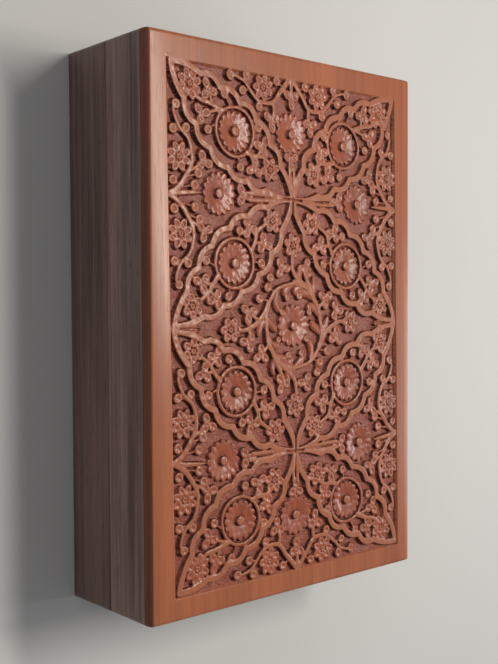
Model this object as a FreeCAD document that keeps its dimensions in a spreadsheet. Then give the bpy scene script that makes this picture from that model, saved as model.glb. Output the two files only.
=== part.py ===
import FreeCAD, Part
import math
import os
import re
import Sketcher
from FreeCAD import Vector

# Carved wooden puzzle box, in millimetres.
# The box lies on its floor: X runs along the length, the front is -Y, the carved face is up.
# The origin is the middle of the underside.

DIMENSIONS = {
    # whole box
    "box_length": 228.0,
    "box_width": 152.0,
    "base_height": 28.0,
    "lid_height": 28.0,
    "rim_gap": 0.2,
    "wall_thick": 10.0,
    "front_wall": 11.0,
    "floor_thick": 8.0,
    "rebate": 4.0,
    "panel_thick": 12.0,
    "edge_bevel": 2.8,
    "end_round": 1.5,
    "arris": 0.4,
    "seat_gap": 0.02,
    "slide_gap": 0.15,
    # carving
    "margin_side": 11.0,
    "margin_end": 9.0,
    "carve_depth": 2.4,
    "band_width": 2.6,
    "lens_half_width": 12.8,
    "rosette_radius": 8.6,
    "rosette_petals": 14.0,
    "boss_radius": 2.3,
    "dish_depth": 1.5,
    "ring_radius": 10.4,
    "ring_width": 1.2,
    "flower_radius": 5.0,
    "flower_petals": 6.0,
    "stem_width": 2.8,
    "stem_tip": 1.6,
    # sliding front
    "facing_thick": 4.0,
    "tongue_depth": 2.4,
    "tongue_neck": 12.0,
    "tongue_flare": 1.5,
    "front_travel": 46.0,
    "stop_radius": 1.0,
    "stop_reach": 1.1,
    "stop_seat": 1.6,
    "stop_gap": 0.3,
    "front_stop_x": 60.0,
    # key strip
    "strip_length": 96.0,
    "strip_neck": 26.0,
    "strip_flare": 1.5,
    "strip_thick": 5.6,
    "strip_travel": 56.0,
    "strip_stop_y": 10.7,
    "strip_stop_inset": 14.0,
    "pocket_inset": 12.0,
    "pocket_length": 40.0,
    "pocket_width": 15.0,
    "pocket_depth": 4.1,
    # hinges
    "hinge_inset": 40.0,
    "hinge_length": 25.0,
    "leaf_width": 8.0,
    "leaf_thick": 1.0,
    "knuckle_radius": 2.2,
    "knuckle_gap": 0.1,
    "hinge_pin_radius": 1.0,
    "hinge_pin_gap": 0.05,
    "axis_clear": 0.25,
    "screw_hole": 2.0,
    # lock
    "lock_inset": 34.0,
    "lock_length": 34.0,
    "lock_lift": 1.0,
    "key_share": 0.4,
    "plate_thick": 1.0,
    "case_length": 26.0,
    "case_depth": 5.2,
    "case_wall": 0.8,
    "bolt_throw": 4.0,
    "bolt_thick": 1.6,
    "bolt_stem": 2.0,
    "bolt_gap": 0.4,
    "loop_first": 4.0,
    "loop_pitch": 11.0,
    "loop_thick": 1.6,
    "loop_wide": 4.0,
    "loop_drop": 5.4,
    "loop_bar": 1.0,
    "eye_wide": 2.2,
    "eye_height": 2.4,
    "stud_radius": 0.9,
    "stud_offset": 6.0,
    "spring_thick": 0.4,
    "spring_length": 11.0,
    # key
    "key_length": 36.0,
    "key_barrel": 1.7,
    "key_bore": 0.9,
    "key_bow": 6.4,
    "key_eye": 1.8,
    "bow_thick": 2.0,
    "bit_length": 4.0,
    "bit_thick": 1.2,
    "key_room": 0.5,
    "key_play": 0.4,
    "escutcheon_thick": 0.8,
    "escutcheon_rim": 2.3,
}

doc = FreeCAD.newDocument("puzzle_box")
sheet = doc.addObject("Spreadsheet::Sheet", "dims")
for row, (alias, number) in enumerate(DIMENSIONS.items(), start=1):
    sheet.set(f"A{row}", alias)
    sheet.set(f"B{row}", str(number))
    sheet.setAlias(f"B{row}", alias)
doc.recompute()

subparts = []


def bind(text):
    """Turn plain names of sizes into references to the sheet."""
    def refer(word):
        return "dims." + word.group() if word.group() in DIMENSIONS else word.group()

    return re.sub(r"[a-z][a-z_]+", refer, text)


def size(text):
    return float(sheet.evalExpression(bind(text)))


# Places shared by several pieces
HALF_X = "(box_length / 2)"
HALF_Y = "(box_width / 2)"
CORE_OUT = "(facing_thick - box_width / 2)"
CORE_IN = "(facing_thick + front_wall - box_width / 2)"
BACK_IN = "(box_width / 2 - wall_thick)"
END_IN = "(box_length / 2 - wall_thick)"
FRONT_SEAT = f"({CORE_IN} - rebate)"
BACK_SEAT = f"({BACK_IN} + rebate)"
FLOOR_X = f"({END_IN} + rebate)"
LID_LOW = "(base_height + rim_gap)"
LID_TOP = "(base_height + lid_height)"
PANEL_LOW = "(base_height + lid_height - panel_thick)"
GROOVE_MID = "(base_height / 2)"
GROOVE_FLOOR = f"({CORE_OUT} + tongue_depth + slide_gap)"
AXIS_Y = "(box_width / 2 + knuckle_radius + axis_clear)"
AXIS_Z = "(base_height + rim_gap / 2)"
LOCK_X = "(lock_inset - box_length / 2)"
LOCK_LOW = "(floor_thick + lock_lift)"
PLATE_IN = f"({CORE_IN} - plate_thick)"
CASE_OUT = f"({PLATE_IN} - case_depth)"
BOLT_Y = f"({PLATE_IN} - (case_depth - case_wall) / 2)"
LOOP_LOW = f"({LID_LOW} - loop_drop)"
KEY_Z = f"({LOCK_LOW} + ({LOOP_LOW} - {LOCK_LOW}) * key_share)"
BIT_REACH = f"({KEY_Z} - {LOCK_LOW} - case_wall - key_room)"
EYE_LOW = f"({LOOP_LOW} + loop_bar)"
BOLT_LOW = f"({KEY_Z} + key_barrel + 2 * bolt_gap)"
BOLT_TOP = f"({LOOP_LOW} - bolt_gap)"
STRIP_TOP = "(strip_thick)"
STRIP_START = "(box_length / 2 - strip_length)"
POCKET_FLOOR = "(strip_thick - pocket_depth)"


# Building blocks
def new_body(label):
    body = doc.addObject("PartDesign::Body", label)
    body.Label = label
    subparts.append(body)
    return body


def rectangle(low_x, high_x, low_y, high_y):
    return [(low_x, low_y), (high_x, low_y), (high_x, high_y), (low_x, high_y)]


def fix_point(sketch, curve, end, x, y):
    for kind, text in (("DistanceX", x), ("DistanceY", y)):
        index = sketch.addConstraint(Sketcher.Constraint(kind, -1, 1, curve, end, size(text)))
        sketch.setExpression(f"Constraints[{index}]", bind(text))


def add_polygon(sketch, points):
    corners = [Vector(size(x), size(y), 0) for x, y in points]
    first = sketch.GeometryCount
    count = len(points)
    for i in range(count):
        sketch.addGeometry(Part.LineSegment(corners[i], corners[(i + 1) % count]), False)
    for i in range(count):
        sketch.addConstraint(Sketcher.Constraint("Coincident", first + i, 2, first + (i + 1) % count, 1))
    for i, (x, y) in enumerate(points):
        fix_point(sketch, first + i, 1, x, y)


def add_circle(sketch, x, y, radius):
    circle = Part.Circle(Vector(size(x), size(y), 0), Vector(0, 0, 1), size(radius))
    curve = sketch.addGeometry(circle, False)
    fix_point(sketch, curve, 3, x, y)
    index = sketch.addConstraint(Sketcher.Constraint("Radius", curve, size(radius)))
    sketch.setExpression(f"Constraints[{index}]", bind(radius))


def new_sketch(body, plane, loops, low, high):
    """A sketch on an origin plane; the slab from low to high is measured along that plane's own axis."""
    sketch = body.newObject("Sketcher::SketchObject", "profile")
    origin_plane = next(feature for feature in body.Origin.OriginFeatures if feature.Role == plane + "_Plane")
    sketch.AttachmentSupport = (origin_plane, [""])
    sketch.MapMode = "FlatFace"
    start = f"-({high})" if plane == "XZ" else low
    sketch.setExpression("AttachmentOffset.Base.z", bind(start))
    for loop in loops:
        if isinstance(loop, tuple):
            add_circle(sketch, *loop)
        else:
            add_polygon(sketch, loop)
    return sketch


def add_slab(body, kind, plane, loops, low, high):
    sketch = new_sketch(body, plane, loops, low, high)
    feature = body.newObject("PartDesign::" + kind, kind.lower())
    feature.Profile = sketch
    feature.setExpression("Length", bind(f"({high}) - ({low})"))
    feature.Reversed = kind == "Pocket"
    sketch.Visibility = False
    return feature


def pad(body, plane, loops, low, high):
    return add_slab(body, "Pad", plane, loops, low, high)


def pocket(body, plane, loops, low, high):
    return add_slab(body, "Pocket", plane, loops, low, high)


def dress_edges(body, kind, measure, amount, chosen):
    doc.recompute()
    base = body.Tip
    names = [f"Edge{i}" for i, edge in enumerate(base.Shape.Edges, start=1) if chosen(edge)]
    feature = body.newObject("PartDesign::" + kind, kind.lower())
    feature.Base = (base, names)
    feature.setExpression(measure, bind(amount))


def round_edges(body, radius, chosen):
    dress_edges(body, "Fillet", "Radius", radius, chosen)


def bevel_edges(body, width, chosen):
    dress_edges(body, "Chamfer", "Size", width, chosen)


def upright_edge_at(edge, y):
    box = edge.BoundBox
    return box.XLength < 0.01 and box.YLength < 0.01 and abs(box.YMin - size(y)) < 0.01 and box.ZLength > 1


def rod(label, plane, x, y, radius, low, high):
    body = new_body(label)
    pad(body, plane, [(x, y, radius)], low, high)
    return body


# Lid and tray walls
def cut_corner_seats(body, near, far, low, high):
    """Rebates at both ends of a long wall that take the end walls."""
    loops = [rectangle(f"-{HALF_X}", f"-{END_IN}", near, far), rectangle(END_IN, HALF_X, near, far)]
    pocket(body, "XY", loops, low, high)


def end_wall(label, side, low, high, floor_seat):
    body = new_body(label)
    outer, inner = f"{side} * {HALF_X}", f"{side} * {END_IN}"
    step = f"{side} * {FLOOR_X}"
    profile = [(outer, low), (outer, high), (inner, high), (inner, low)]
    if floor_seat:
        profile[3:] = [(inner, "floor_thick"), (step, "floor_thick"), (step, low)]
    pad(body, "XZ", [profile], FRONT_SEAT, BACK_SEAT)
    return body


base_front_wall = new_body("base_front_wall")
mouth = "(tongue_neck / 2 + slide_gap)"
inside = "(tongue_neck / 2 + tongue_flare + slide_gap)"
pad(base_front_wall, "YZ", [[
    (CORE_OUT, "0"), (FRONT_SEAT, "0"), (FRONT_SEAT, "floor_thick"), (CORE_IN, "floor_thick"),
    (CORE_IN, "base_height"), (CORE_OUT, "base_height"), (CORE_OUT, f"{GROOVE_MID} + {mouth}"),
    (GROOVE_FLOOR, f"{GROOVE_MID} + {inside}"), (GROOVE_FLOOR, f"{GROOVE_MID} - {inside}"),
    (CORE_OUT, f"{GROOVE_MID} - {mouth}")]], f"-{HALF_X}", HALF_X)
cut_corner_seats(base_front_wall, FRONT_SEAT, CORE_IN, "0", "base_height")

base_back_wall = new_body("base_back_wall")
pad(base_back_wall, "YZ", [[
    (BACK_SEAT, "0"), (HALF_Y, "0"), (HALF_Y, "base_height"), (BACK_IN, "base_height"),
    (BACK_IN, "floor_thick"), (BACK_SEAT, "floor_thick")]], f"-{HALF_X}", HALF_X)
cut_corner_seats(base_back_wall, BACK_IN, BACK_SEAT, "0", "base_height")
round_edges(base_back_wall, "end_round", lambda edge: upright_edge_at(edge, HALF_Y))

base_left_wall = end_wall("base_left_wall", "-1", "0", "base_height", True)
base_right_wall = end_wall("base_right_wall", "1", "0", "base_height", True)

base_floor = new_body("base_floor")
pad(base_floor, "XY", [rectangle(f"-{FLOOR_X}", FLOOR_X, FRONT_SEAT, BACK_SEAT)], "0", "floor_thick")

lid_front_wall = new_body("lid_front_wall")
pad(lid_front_wall, "YZ", [[
    (f"arris - {HALF_Y}", LID_LOW), (CORE_IN, LID_LOW), (CORE_IN, PANEL_LOW), (f"-{HALF_Y}", PANEL_LOW),
    (f"-{HALF_Y}", f"{LID_LOW} + arris")]], f"-{HALF_X}", HALF_X)
cut_corner_seats(lid_front_wall, FRONT_SEAT, CORE_IN, LID_LOW, PANEL_LOW)
round_edges(lid_front_wall, "end_round", lambda edge: upright_edge_at(edge, f"-{HALF_Y}"))

lid_back_wall = new_body("lid_back_wall")
pad(lid_back_wall, "YZ", [rectangle(BACK_IN, HALF_Y, LID_LOW, PANEL_LOW)], f"-{HALF_X}", HALF_X)
cut_corner_seats(lid_back_wall, BACK_IN, BACK_SEAT, LID_LOW, PANEL_LOW)
round_edges(lid_back_wall, "end_round", lambda edge: upright_edge_at(edge, HALF_Y))

end_wall("lid_left_wall", "-1", LID_LOW, PANEL_LOW, False)
end_wall("lid_right_wall", "1", LID_LOW, PANEL_LOW, False)

# Sliding front with its dovetail tongue and stop
front_slider = new_body("front_slider")
face_low, face_high = "(2 * slide_gap)", "(base_height - 2 * slide_gap)"
tongue_end = f"({CORE_OUT} + tongue_depth)"
board_back = f"({CORE_OUT} - slide_gap)"
pad(front_slider, "YZ", [[
    (f"arris - {HALF_Y}", face_low), (board_back, face_low), (board_back, f"{GROOVE_MID} - tongue_neck / 2"),
    (tongue_end, f"{GROOVE_MID} - tongue_neck / 2 - tongue_flare"),
    (tongue_end, f"{GROOVE_MID} + tongue_neck / 2 + tongue_flare"),
    (board_back, f"{GROOVE_MID} + tongue_neck / 2"), (board_back, face_high),
    (f"arris - {HALF_Y}", face_high), (f"-{HALF_Y}", f"{face_high} - arris"),
    (f"-{HALF_Y}", f"{face_low} + arris")]], f"-{HALF_X}", HALF_X)
slot_half = "(stop_radius + stop_gap)"
pocket(front_slider, "XZ", [rectangle(
    f"front_stop_x - front_travel - {slot_half}", f"front_stop_x + {slot_half}",
    f"{GROOVE_MID} - {slot_half}", f"{GROOVE_MID} + {slot_half}")],
    f"{tongue_end} - stop_reach - stop_gap", tongue_end)
round_edges(front_slider, "end_round", lambda edge: upright_edge_at(edge, f"-{HALF_Y}"))

pocket(base_front_wall, "XZ", [("front_stop_x", GROOVE_MID, "stop_radius + seat_gap")],
       GROOVE_FLOOR, f"{GROOVE_FLOOR} + stop_seat + seat_gap")
rod("front_stop_pin", "XZ", "front_stop_x", GROOVE_MID, "stop_radius",
    f"{GROOVE_FLOOR} - stop_reach", f"{GROOVE_FLOOR} + stop_seat")

# Key strip in the underside, with its pocket and stop
strip_side = "(strip_neck / 2)"
groove_profile = [
    (f"-{strip_side} - slide_gap", "0"), (f"{strip_side} + slide_gap", "0"),
    (f"{strip_side} + strip_flare + slide_gap", "strip_thick + slide_gap"),
    (f"-{strip_side} - strip_flare - slide_gap", "strip_thick + slide_gap")]
pocket(base_floor, "YZ", [groove_profile], f"{STRIP_START} - slide_gap", HALF_X)
pocket(base_right_wall, "YZ", [groove_profile], END_IN, HALF_X)

key_strip = new_body("key_strip")
pad(key_strip, "YZ", [[
    (f"-{strip_side}", "2 * slide_gap"), (strip_side, "2 * slide_gap"),
    (f"{strip_side} + strip_flare", STRIP_TOP), (f"-{strip_side} - strip_flare", STRIP_TOP)]],
    STRIP_START, HALF_X)
pocket_start = f"({HALF_X} - pocket_inset - pocket_length)"
pocket_end = f"({HALF_X} - pocket_inset)"
pocket(key_strip, "XY", [rectangle(pocket_start, pocket_end, "-pocket_width / 2", "pocket_width / 2")],
       POCKET_FLOOR, STRIP_TOP)
round_edges(key_strip, "pocket_width / 6", lambda edge: edge.BoundBox.XLength + edge.BoundBox.YLength < 0.01
            and abs(edge.BoundBox.ZMin - size(POCKET_FLOOR)) < 0.01)
strip_stop_x = f"({HALF_X} - strip_stop_inset)"
pocket(key_strip, "XY", [rectangle(
    f"{strip_stop_x} - strip_travel - {slot_half}", f"{strip_stop_x} + {slot_half}",
    f"strip_stop_y - {slot_half}", f"strip_stop_y + {slot_half}")],
    f"{STRIP_TOP} - stop_reach - stop_gap", STRIP_TOP)
pocket(base_floor, "XY", [(strip_stop_x, "strip_stop_y", "stop_radius + seat_gap")],
       f"{STRIP_TOP} + slide_gap", f"{STRIP_TOP} + slide_gap + stop_seat + seat_gap")
rod("key_strip_stop_pin", "XY", strip_stop_x, "strip_stop_y", "stop_radius",
    f"{STRIP_TOP} + slide_gap - stop_reach", f"{STRIP_TOP} + slide_gap + stop_seat")

# Barrel key lying in the pocket, its bow towards the middle of the box
key = new_body("key")
key_mid = f"({POCKET_FLOOR} + key_barrel + seat_gap)"
key_end = f"({pocket_end} - (pocket_length - key_length) / 2)"
bow_x = f"({key_end} - key_length + key_bow)"
pad(key, "YZ", [("0", key_mid, "key_barrel")], bow_x, key_end)
pad(key, "XY", [(bow_x, "0", "key_bow")], f"{key_mid} - bow_thick / 2", f"{key_mid} + bow_thick / 2")
pocket(key, "XY", [(f"{bow_x} - key_bow / 3", "0", "key_eye")],
       f"{key_mid} - 2 * key_barrel", f"{key_mid} + 2 * key_barrel")
pad(key, "XY", [rectangle(f"{key_end} - bit_length - 1", f"{key_end} - 1", "0", BIT_REACH)],
    f"{key_mid} - bit_thick / 2", f"{key_mid} + bit_thick / 2")
pocket(key, "YZ", [("0", key_mid, "key_bore")], f"{key_end} - 2 * bit_length", key_end)

# Lock
plate_low_x, plate_high_x = f"({LOCK_X} - lock_length / 2)", f"({LOCK_X} + lock_length / 2)"
case_low_x, case_high_x = f"({LOCK_X} - case_length / 2)", f"({LOCK_X} + case_length / 2)"
flange_low = "(base_height - plate_thick)"
loop_middles = [f"({LOCK_X} - loop_first)", f"({LOCK_X} - loop_first + loop_pitch)"]


def cut_keyhole(body, low, high):
    pocket(body, "XZ", [(LOCK_X, KEY_Z, "key_barrel + key_play")], low, high)
    slot = rectangle(f"{LOCK_X} - bit_thick / 2 - key_play", f"{LOCK_X} + bit_thick / 2 + key_play",
                     f"{KEY_Z} - {BIT_REACH} - key_play", KEY_Z)
    pocket(body, "XZ", [slot], low, high)


pocket(base_front_wall, "XZ", [rectangle(
    f"{plate_low_x} - seat_gap", f"{plate_high_x} + seat_gap", f"{LOCK_LOW} - seat_gap", "base_height")],
    f"{PLATE_IN} - seat_gap", CORE_IN)
pocket(base_front_wall, "XZ", [rectangle(
    f"{plate_low_x} - seat_gap", f"{plate_high_x} + seat_gap", f"{flange_low} - seat_gap", "base_height")],
    f"{CASE_OUT} - seat_gap", CORE_IN)
pocket(base_front_wall, "XZ", [rectangle(
    f"{case_low_x} - seat_gap", f"{case_high_x} + seat_gap", f"{LOCK_LOW} - seat_gap", "base_height")],
    f"{CASE_OUT} - seat_gap", CORE_IN)
cut_keyhole(base_front_wall, CORE_OUT, CORE_IN)

lock_plate = new_body("lock_plate")
pad(lock_plate, "YZ", [[
    (CASE_OUT, "base_height"), (CASE_OUT, flange_low), (PLATE_IN, flange_low), (PLATE_IN, LOCK_LOW),
    (CORE_IN, LOCK_LOW), (CORE_IN, "base_height")]], plate_low_x, plate_high_x)
pocket(lock_plate, "XY", [rectangle(
    f"{middle} - loop_thick / 2 - bolt_gap", f"{middle} + loop_thick / 2 + bolt_gap",
    f"{BOLT_Y} - loop_wide / 2 - bolt_gap", f"{BOLT_Y} + loop_wide / 2 + bolt_gap / 2")
    for middle in loop_middles], flange_low, "base_height")
stud_x, stud_z = f"({LOCK_X} + stud_offset)", f"({BOLT_TOP} - 2 * stud_radius)"

lock_case = new_body("lock_case")
pad(lock_case, "XY", [rectangle(case_low_x, case_high_x, CASE_OUT, PLATE_IN)], LOCK_LOW, flange_low)
pocket(lock_case, "XY", [rectangle(
    f"{case_low_x} + case_wall", f"{case_high_x} - case_wall", f"{CASE_OUT} + case_wall", PLATE_IN)],
    f"{LOCK_LOW} + case_wall", flange_low)
cut_keyhole(lock_case, CASE_OUT, f"{CASE_OUT} + case_wall")

rod("lock_key_pin", "XZ", LOCK_X, KEY_Z, "key_bore - bolt_gap / 2",
    f"{CASE_OUT} + case_wall + bolt_gap", PLATE_IN)
rod("bolt_guide_stud", "XZ", stud_x, stud_z, "stud_radius", f"{BOLT_Y} - bolt_thick / 2", PLATE_IN)

lock_bolt = new_body("lock_bolt")
tips = [f"({middle} - loop_thick / 2 - bolt_gap)" for middle in loop_middles]
stem_rights = [f"({tip} - bolt_throw)" for tip in tips]
stem_lefts = [f"({right} - bolt_stem)" for right in stem_rights]
finger_low, finger_high = f"({EYE_LOW} + bolt_gap / 2)", f"({EYE_LOW} + eye_height - bolt_gap / 2)"
tail = f"({stud_x} + stud_radius + slide_gap + bolt_stem / 2)"
talon_left = f"({LOCK_X} - bolt_throw / 2 - {BIT_REACH} * 0.6)"
talon_right = f"({LOCK_X} - bolt_throw / 2 + {BIT_REACH} * 0.6)"
talon_top = f"({KEY_Z} + {BIT_REACH} + bolt_gap / 2)"
pad(lock_bolt, "XZ", [[
    (stem_lefts[0], BOLT_LOW), (talon_left, BOLT_LOW), (talon_left, talon_top), (talon_right, talon_top),
    (talon_right, BOLT_LOW), (tail, BOLT_LOW), (tail, BOLT_TOP), (stem_rights[1], BOLT_TOP),
    (stem_rights[1], finger_low), (tips[1], finger_low), (tips[1], finger_high), (stem_lefts[1], finger_high),
    (stem_lefts[1], BOLT_TOP), (stem_rights[0], BOLT_TOP), (stem_rights[0], finger_low),
    (tips[0], finger_low), (tips[0], finger_high), (stem_lefts[0], finger_high)]],
    f"{BOLT_Y} - bolt_thick / 2", f"{BOLT_Y} + bolt_thick / 2")
pocket(lock_bolt, "XZ", [rectangle(
    f"{stud_x} - bolt_throw - stud_radius - slide_gap", f"{stud_x} + stud_radius + slide_gap",
    f"{stud_z} - stud_radius - slide_gap", f"{stud_z} + stud_radius + slide_gap")],
    f"{BOLT_Y} - bolt_thick / 2", f"{BOLT_Y} + bolt_thick / 2")

lock_spring = new_body("lock_spring")
spring_left = f"({case_low_x} + case_wall + bolt_gap)"
spring_middle, spring_right = f"({spring_left} + spring_length / 2)", f"({spring_left} + spring_length)"
spring_foot = f"({CASE_OUT} + case_wall + seat_gap)"
spring_crest = f"({BOLT_Y} - bolt_thick / 2 - slide_gap - spring_thick)"
pad(lock_spring, "XY", [[
    (spring_left, spring_foot), (spring_middle, spring_crest), (spring_right, spring_foot),
    (spring_right, f"{spring_foot} + spring_thick"), (spring_middle, f"{spring_crest} + spring_thick"),
    (spring_left, f"{spring_foot} + spring_thick")]], f"{BOLT_TOP} - 3", BOLT_TOP)

# Keyhole plate in the floor of the groove, hidden by the sliding front
plate_back = f"({GROOVE_FLOOR} + escutcheon_thick)"
plate_half = "(key_barrel + escutcheon_rim)"
plate_bottom = f"({KEY_Z} - {BIT_REACH} - escutcheon_rim)"
plate_top = f"({KEY_Z} + key_barrel + escutcheon_rim)"
keyhole_outline = rectangle(f"{LOCK_X} - {plate_half}", f"{LOCK_X} + {plate_half}", plate_bottom, plate_top)
pocket(base_front_wall, "XZ", [keyhole_outline], GROOVE_FLOOR, plate_back)
keyhole_plate = new_body("keyhole_plate")
pad(keyhole_plate, "XZ", [keyhole_outline], GROOVE_FLOOR, plate_back)
cut_keyhole(keyhole_plate, GROOVE_FLOOR, plate_back)

# Link plate on the lid: two loops that drop into the lock
link_plate = new_body("link_plate")
pad(link_plate, "XY", [rectangle(plate_low_x, plate_high_x, CASE_OUT, CORE_IN)],
    LID_LOW, f"{LID_LOW} + plate_thick")
for middle in loop_middles:
    pad(link_plate, "YZ", [rectangle(
        f"{BOLT_Y} - loop_wide / 2", f"{BOLT_Y} + loop_wide / 2", LOOP_LOW, f"{LID_LOW} + plate_thick / 2")],
        f"{middle} - loop_thick / 2", f"{middle} + loop_thick / 2")
for middle in loop_middles:
    pocket(link_plate, "YZ", [rectangle(
        f"{BOLT_Y} - eye_wide / 2", f"{BOLT_Y} + eye_wide / 2", EYE_LOW, f"{EYE_LOW} + eye_height")],
        f"{middle} - loop_thick / 2", f"{middle} + loop_thick / 2")
pocket(lid_front_wall, "XY", [rectangle(
    f"{plate_low_x} - seat_gap", f"{plate_high_x} + seat_gap", f"{CASE_OUT} - seat_gap", CORE_IN)],
    LID_LOW, f"{LID_LOW} + plate_thick + seat_gap")


# Two butt hinges let into the back edges
HOLE_SIDES = 8


def screw_hole(x, y):
    """A hole for a screw, with few sides."""
    turns = [math.tau * (i + 0.5) / HOLE_SIDES for i in range(HOLE_SIDES)]
    return [(f"{x} + screw_hole * ({math.cos(turn):.4f})", f"{y} + screw_hole * ({math.sin(turn):.4f})")
            for turn in turns]


def hinge_leaf(label, centre, low, gaps):
    """A flat leaf with its share of the three knuckles; gaps lists the knuckles of the other leaf."""
    body = new_body(label)
    left, right = f"({centre} - hinge_length / 2)", f"({centre} + hinge_length / 2)"
    pad(body, "YZ", [(AXIS_Y, AXIS_Z, "knuckle_radius")], left, right)
    pad(body, "YZ", [rectangle(f"{HALF_Y} - leaf_width", AXIS_Y, low, f"{low} + leaf_thick")], left, right)
    pocket(body, "YZ", [(AXIS_Y, AXIS_Z, "hinge_pin_radius + hinge_pin_gap")], left, right)
    for knuckle in gaps:
        start = left if knuckle == 0 else f"{left} + hinge_length * {knuckle} / 3 - knuckle_gap"
        stop = right if knuckle == 2 else f"{left} + hinge_length * {knuckle + 1} / 3 + knuckle_gap"
        near = f"{AXIS_Y} - knuckle_radius - axis_clear / 2"
        far = f"{AXIS_Y} + knuckle_radius + axis_clear"
        pocket(body, "XY", [rectangle(start, stop, near, far)],
               f"{AXIS_Z} - 2 * knuckle_radius", f"{AXIS_Z} + 2 * knuckle_radius")
    holes = [screw_hole(f"{centre} {offset}", f"{HALF_Y} - leaf_width / 2")
             for offset in ("- hinge_length / 3", "+ hinge_length / 3")]
    pocket(body, "XY", holes, low, f"{low} + leaf_thick")


def cut_hinge_seat(body, centre, low, high):
    pocket(body, "XY", [rectangle(
        f"{centre} - hinge_length / 2 - seat_gap", f"{centre} + hinge_length / 2 + seat_gap",
        f"{HALF_Y} - leaf_width - seat_gap", HALF_Y)], low, high)


leaf_low_base = "(base_height - leaf_thick)"
for side, sign in (("left", "-1"), ("right", "1")):
    centre = f"({sign} * ({HALF_X} - hinge_inset))"
    hinge_leaf(f"hinge_{side}_base_leaf", centre, leaf_low_base, (1,))
    hinge_leaf(f"hinge_{side}_lid_leaf", centre, LID_LOW, (0, 2))
    rod(f"hinge_{side}_pin", "YZ", AXIS_Y, AXIS_Z, "hinge_pin_radius",
        f"{centre} - hinge_length / 2", f"{centre} + hinge_length / 2")
    cut_hinge_seat(base_back_wall, centre, f"{leaf_low_base} - seat_gap", "base_height")
    cut_hinge_seat(lid_back_wall, centre, LID_LOW, f"{LID_LOW} + leaf_thick + seat_gap")

# Lid board: bevels along the long edges, small rounds about the ends
board = doc.addObject("PartDesign::Body", "lid_board")
pad(board, "YZ", [rectangle(f"-{HALF_Y}", HALF_Y, PANEL_LOW, LID_TOP)], f"-{HALF_X}", HALF_X)
bevel_edges(board, "edge_bevel", lambda edge: edge.BoundBox.XLength > 1
            and edge.BoundBox.ZMin > size(LID_TOP) - 0.01)
round_edges(board, "end_round", lambda edge: edge.BoundBox.XLength < 0.01
            and edge.BoundBox.ZMax > size(PANEL_LOW) + 0.01)


# Carving: the ground is sunk round cusped cartouches, rosettes, flowers and stems
FIELD_X = size("box_length / 2 - margin_end")
FIELD_Y = size("box_width / 2 - margin_side")
LOBES = 6
RING_SIDES = 10
# Flowers and stems of one quarter, as shares of the half field; the other quarters mirror them
FLOWERS = [(0.917, 0.838), (0.62, 0.195), (0.418, 0.177), (0.083, 0.838), (0.64, 0.91), (0.35, 0.91),
           (0.94, 0.243)]
MIDDLE_FLOWERS = [(0.326, 0), (-0.326, 0), (0, 0.56), (0, -0.56)]
SIDE_STEM = [(0.003, 1.01), (0.034, 0.92), (0.083, 0.862), (0.138, 0.822), (0.195, 0.834), (0.248, 0.91),
             (0.31, 0.957)]
END_STEM = [(1.005, 0.009), (0.929, 0.1), (0.882, 0.177), (0.886, 0.291), (0.926, 0.36), (0.97, 0.477)]


def lobed_wire(points, bulges, steps):
    """A closed wire bowed out between the points; a bulge is the rise as a share of the chord."""
    corners = []
    for start, end, bulge in zip(points, points[1:], bulges):
        along = end - start
        outward = Vector(along.y, -along.x, 0)
        parts = steps if bulge else 1
        for i in range(parts):
            share = i / parts
            corners.append(start + along * share + outward * (4 * bulge * share * (1 - share)))
    return Part.makePolygon(corners + corners[:1])


def lens_face(tip, far_tip, inset):
    """A pointed lens between two tips, edged with lobes, drawn in by the inset."""
    axis = far_tip - tip
    length = axis.Length
    along = axis / length
    across = Vector(along.y, -along.x, 0)
    tip_move = 2.6 * inset
    cusps = []
    for i in range(1, LOBES):
        share = 0.5 + 0.9 * (i / LOBES - 0.5)
        half_width = size("lens_half_width") * math.sin(math.pi * share) - inset
        cusps.append((tip_move + (length - 2 * tip_move) * share, half_width))
    first, last = tip + along * tip_move, far_tip - along * tip_move
    right_side = [tip + along * reach + across * width for reach, width in cusps]
    left_side = [tip + along * reach - across * width for reach, width in reversed(cusps)]
    bulges = [0] + [0.17] * (LOBES - 2) + [0]
    return Part.Face(lobed_wire([first] + right_side + [last] + left_side + [first], bulges * 2, 3))


def ring_of_points(centre, radius, count):
    turns = [2 * math.pi * i / count for i in range(count)]
    points = [centre + Vector(radius * math.cos(turn), radius * math.sin(turn), 0) for turn in turns]
    return points + points[:1]


def rosette_face(centre):
    petals = int(size("rosette_petals"))
    roots = ring_of_points(centre, size("rosette_radius") * 0.93, petals)
    return Part.Face(lobed_wire(roots, [0.2] * petals, 2))


def flower_face(centre):
    """Petals round a point; each runs out from its two roots to a tip on the flower's radius."""
    petals = int(size("flower_petals"))
    root = size("flower_radius") * 0.55
    chord = 2 * root * math.sin(math.pi / petals)
    rise = (size("flower_radius") - root * math.cos(math.pi / petals)) / chord
    return Part.Face(lobed_wire(ring_of_points(centre, root, petals), [rise] * petals, 2))


def stem_face(points):
    """A stem along the points, tapering to its tip."""
    left, right = [], []
    for i, point in enumerate(points):
        along = (points[min(i + 1, len(points) - 1)] - points[max(i - 1, 0)]).normalize()
        share = i / (len(points) - 1)
        half = (size("stem_width") * (1 - share) + size("stem_tip") * share) / 2
        left.append(point + Vector(-along.y, along.x, 0) * half)
        right.append(point - Vector(-along.y, along.x, 0) * half)
    outline = left + right[::-1]
    return Part.Face(Part.makePolygon(outline + outline[:1]))


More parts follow.
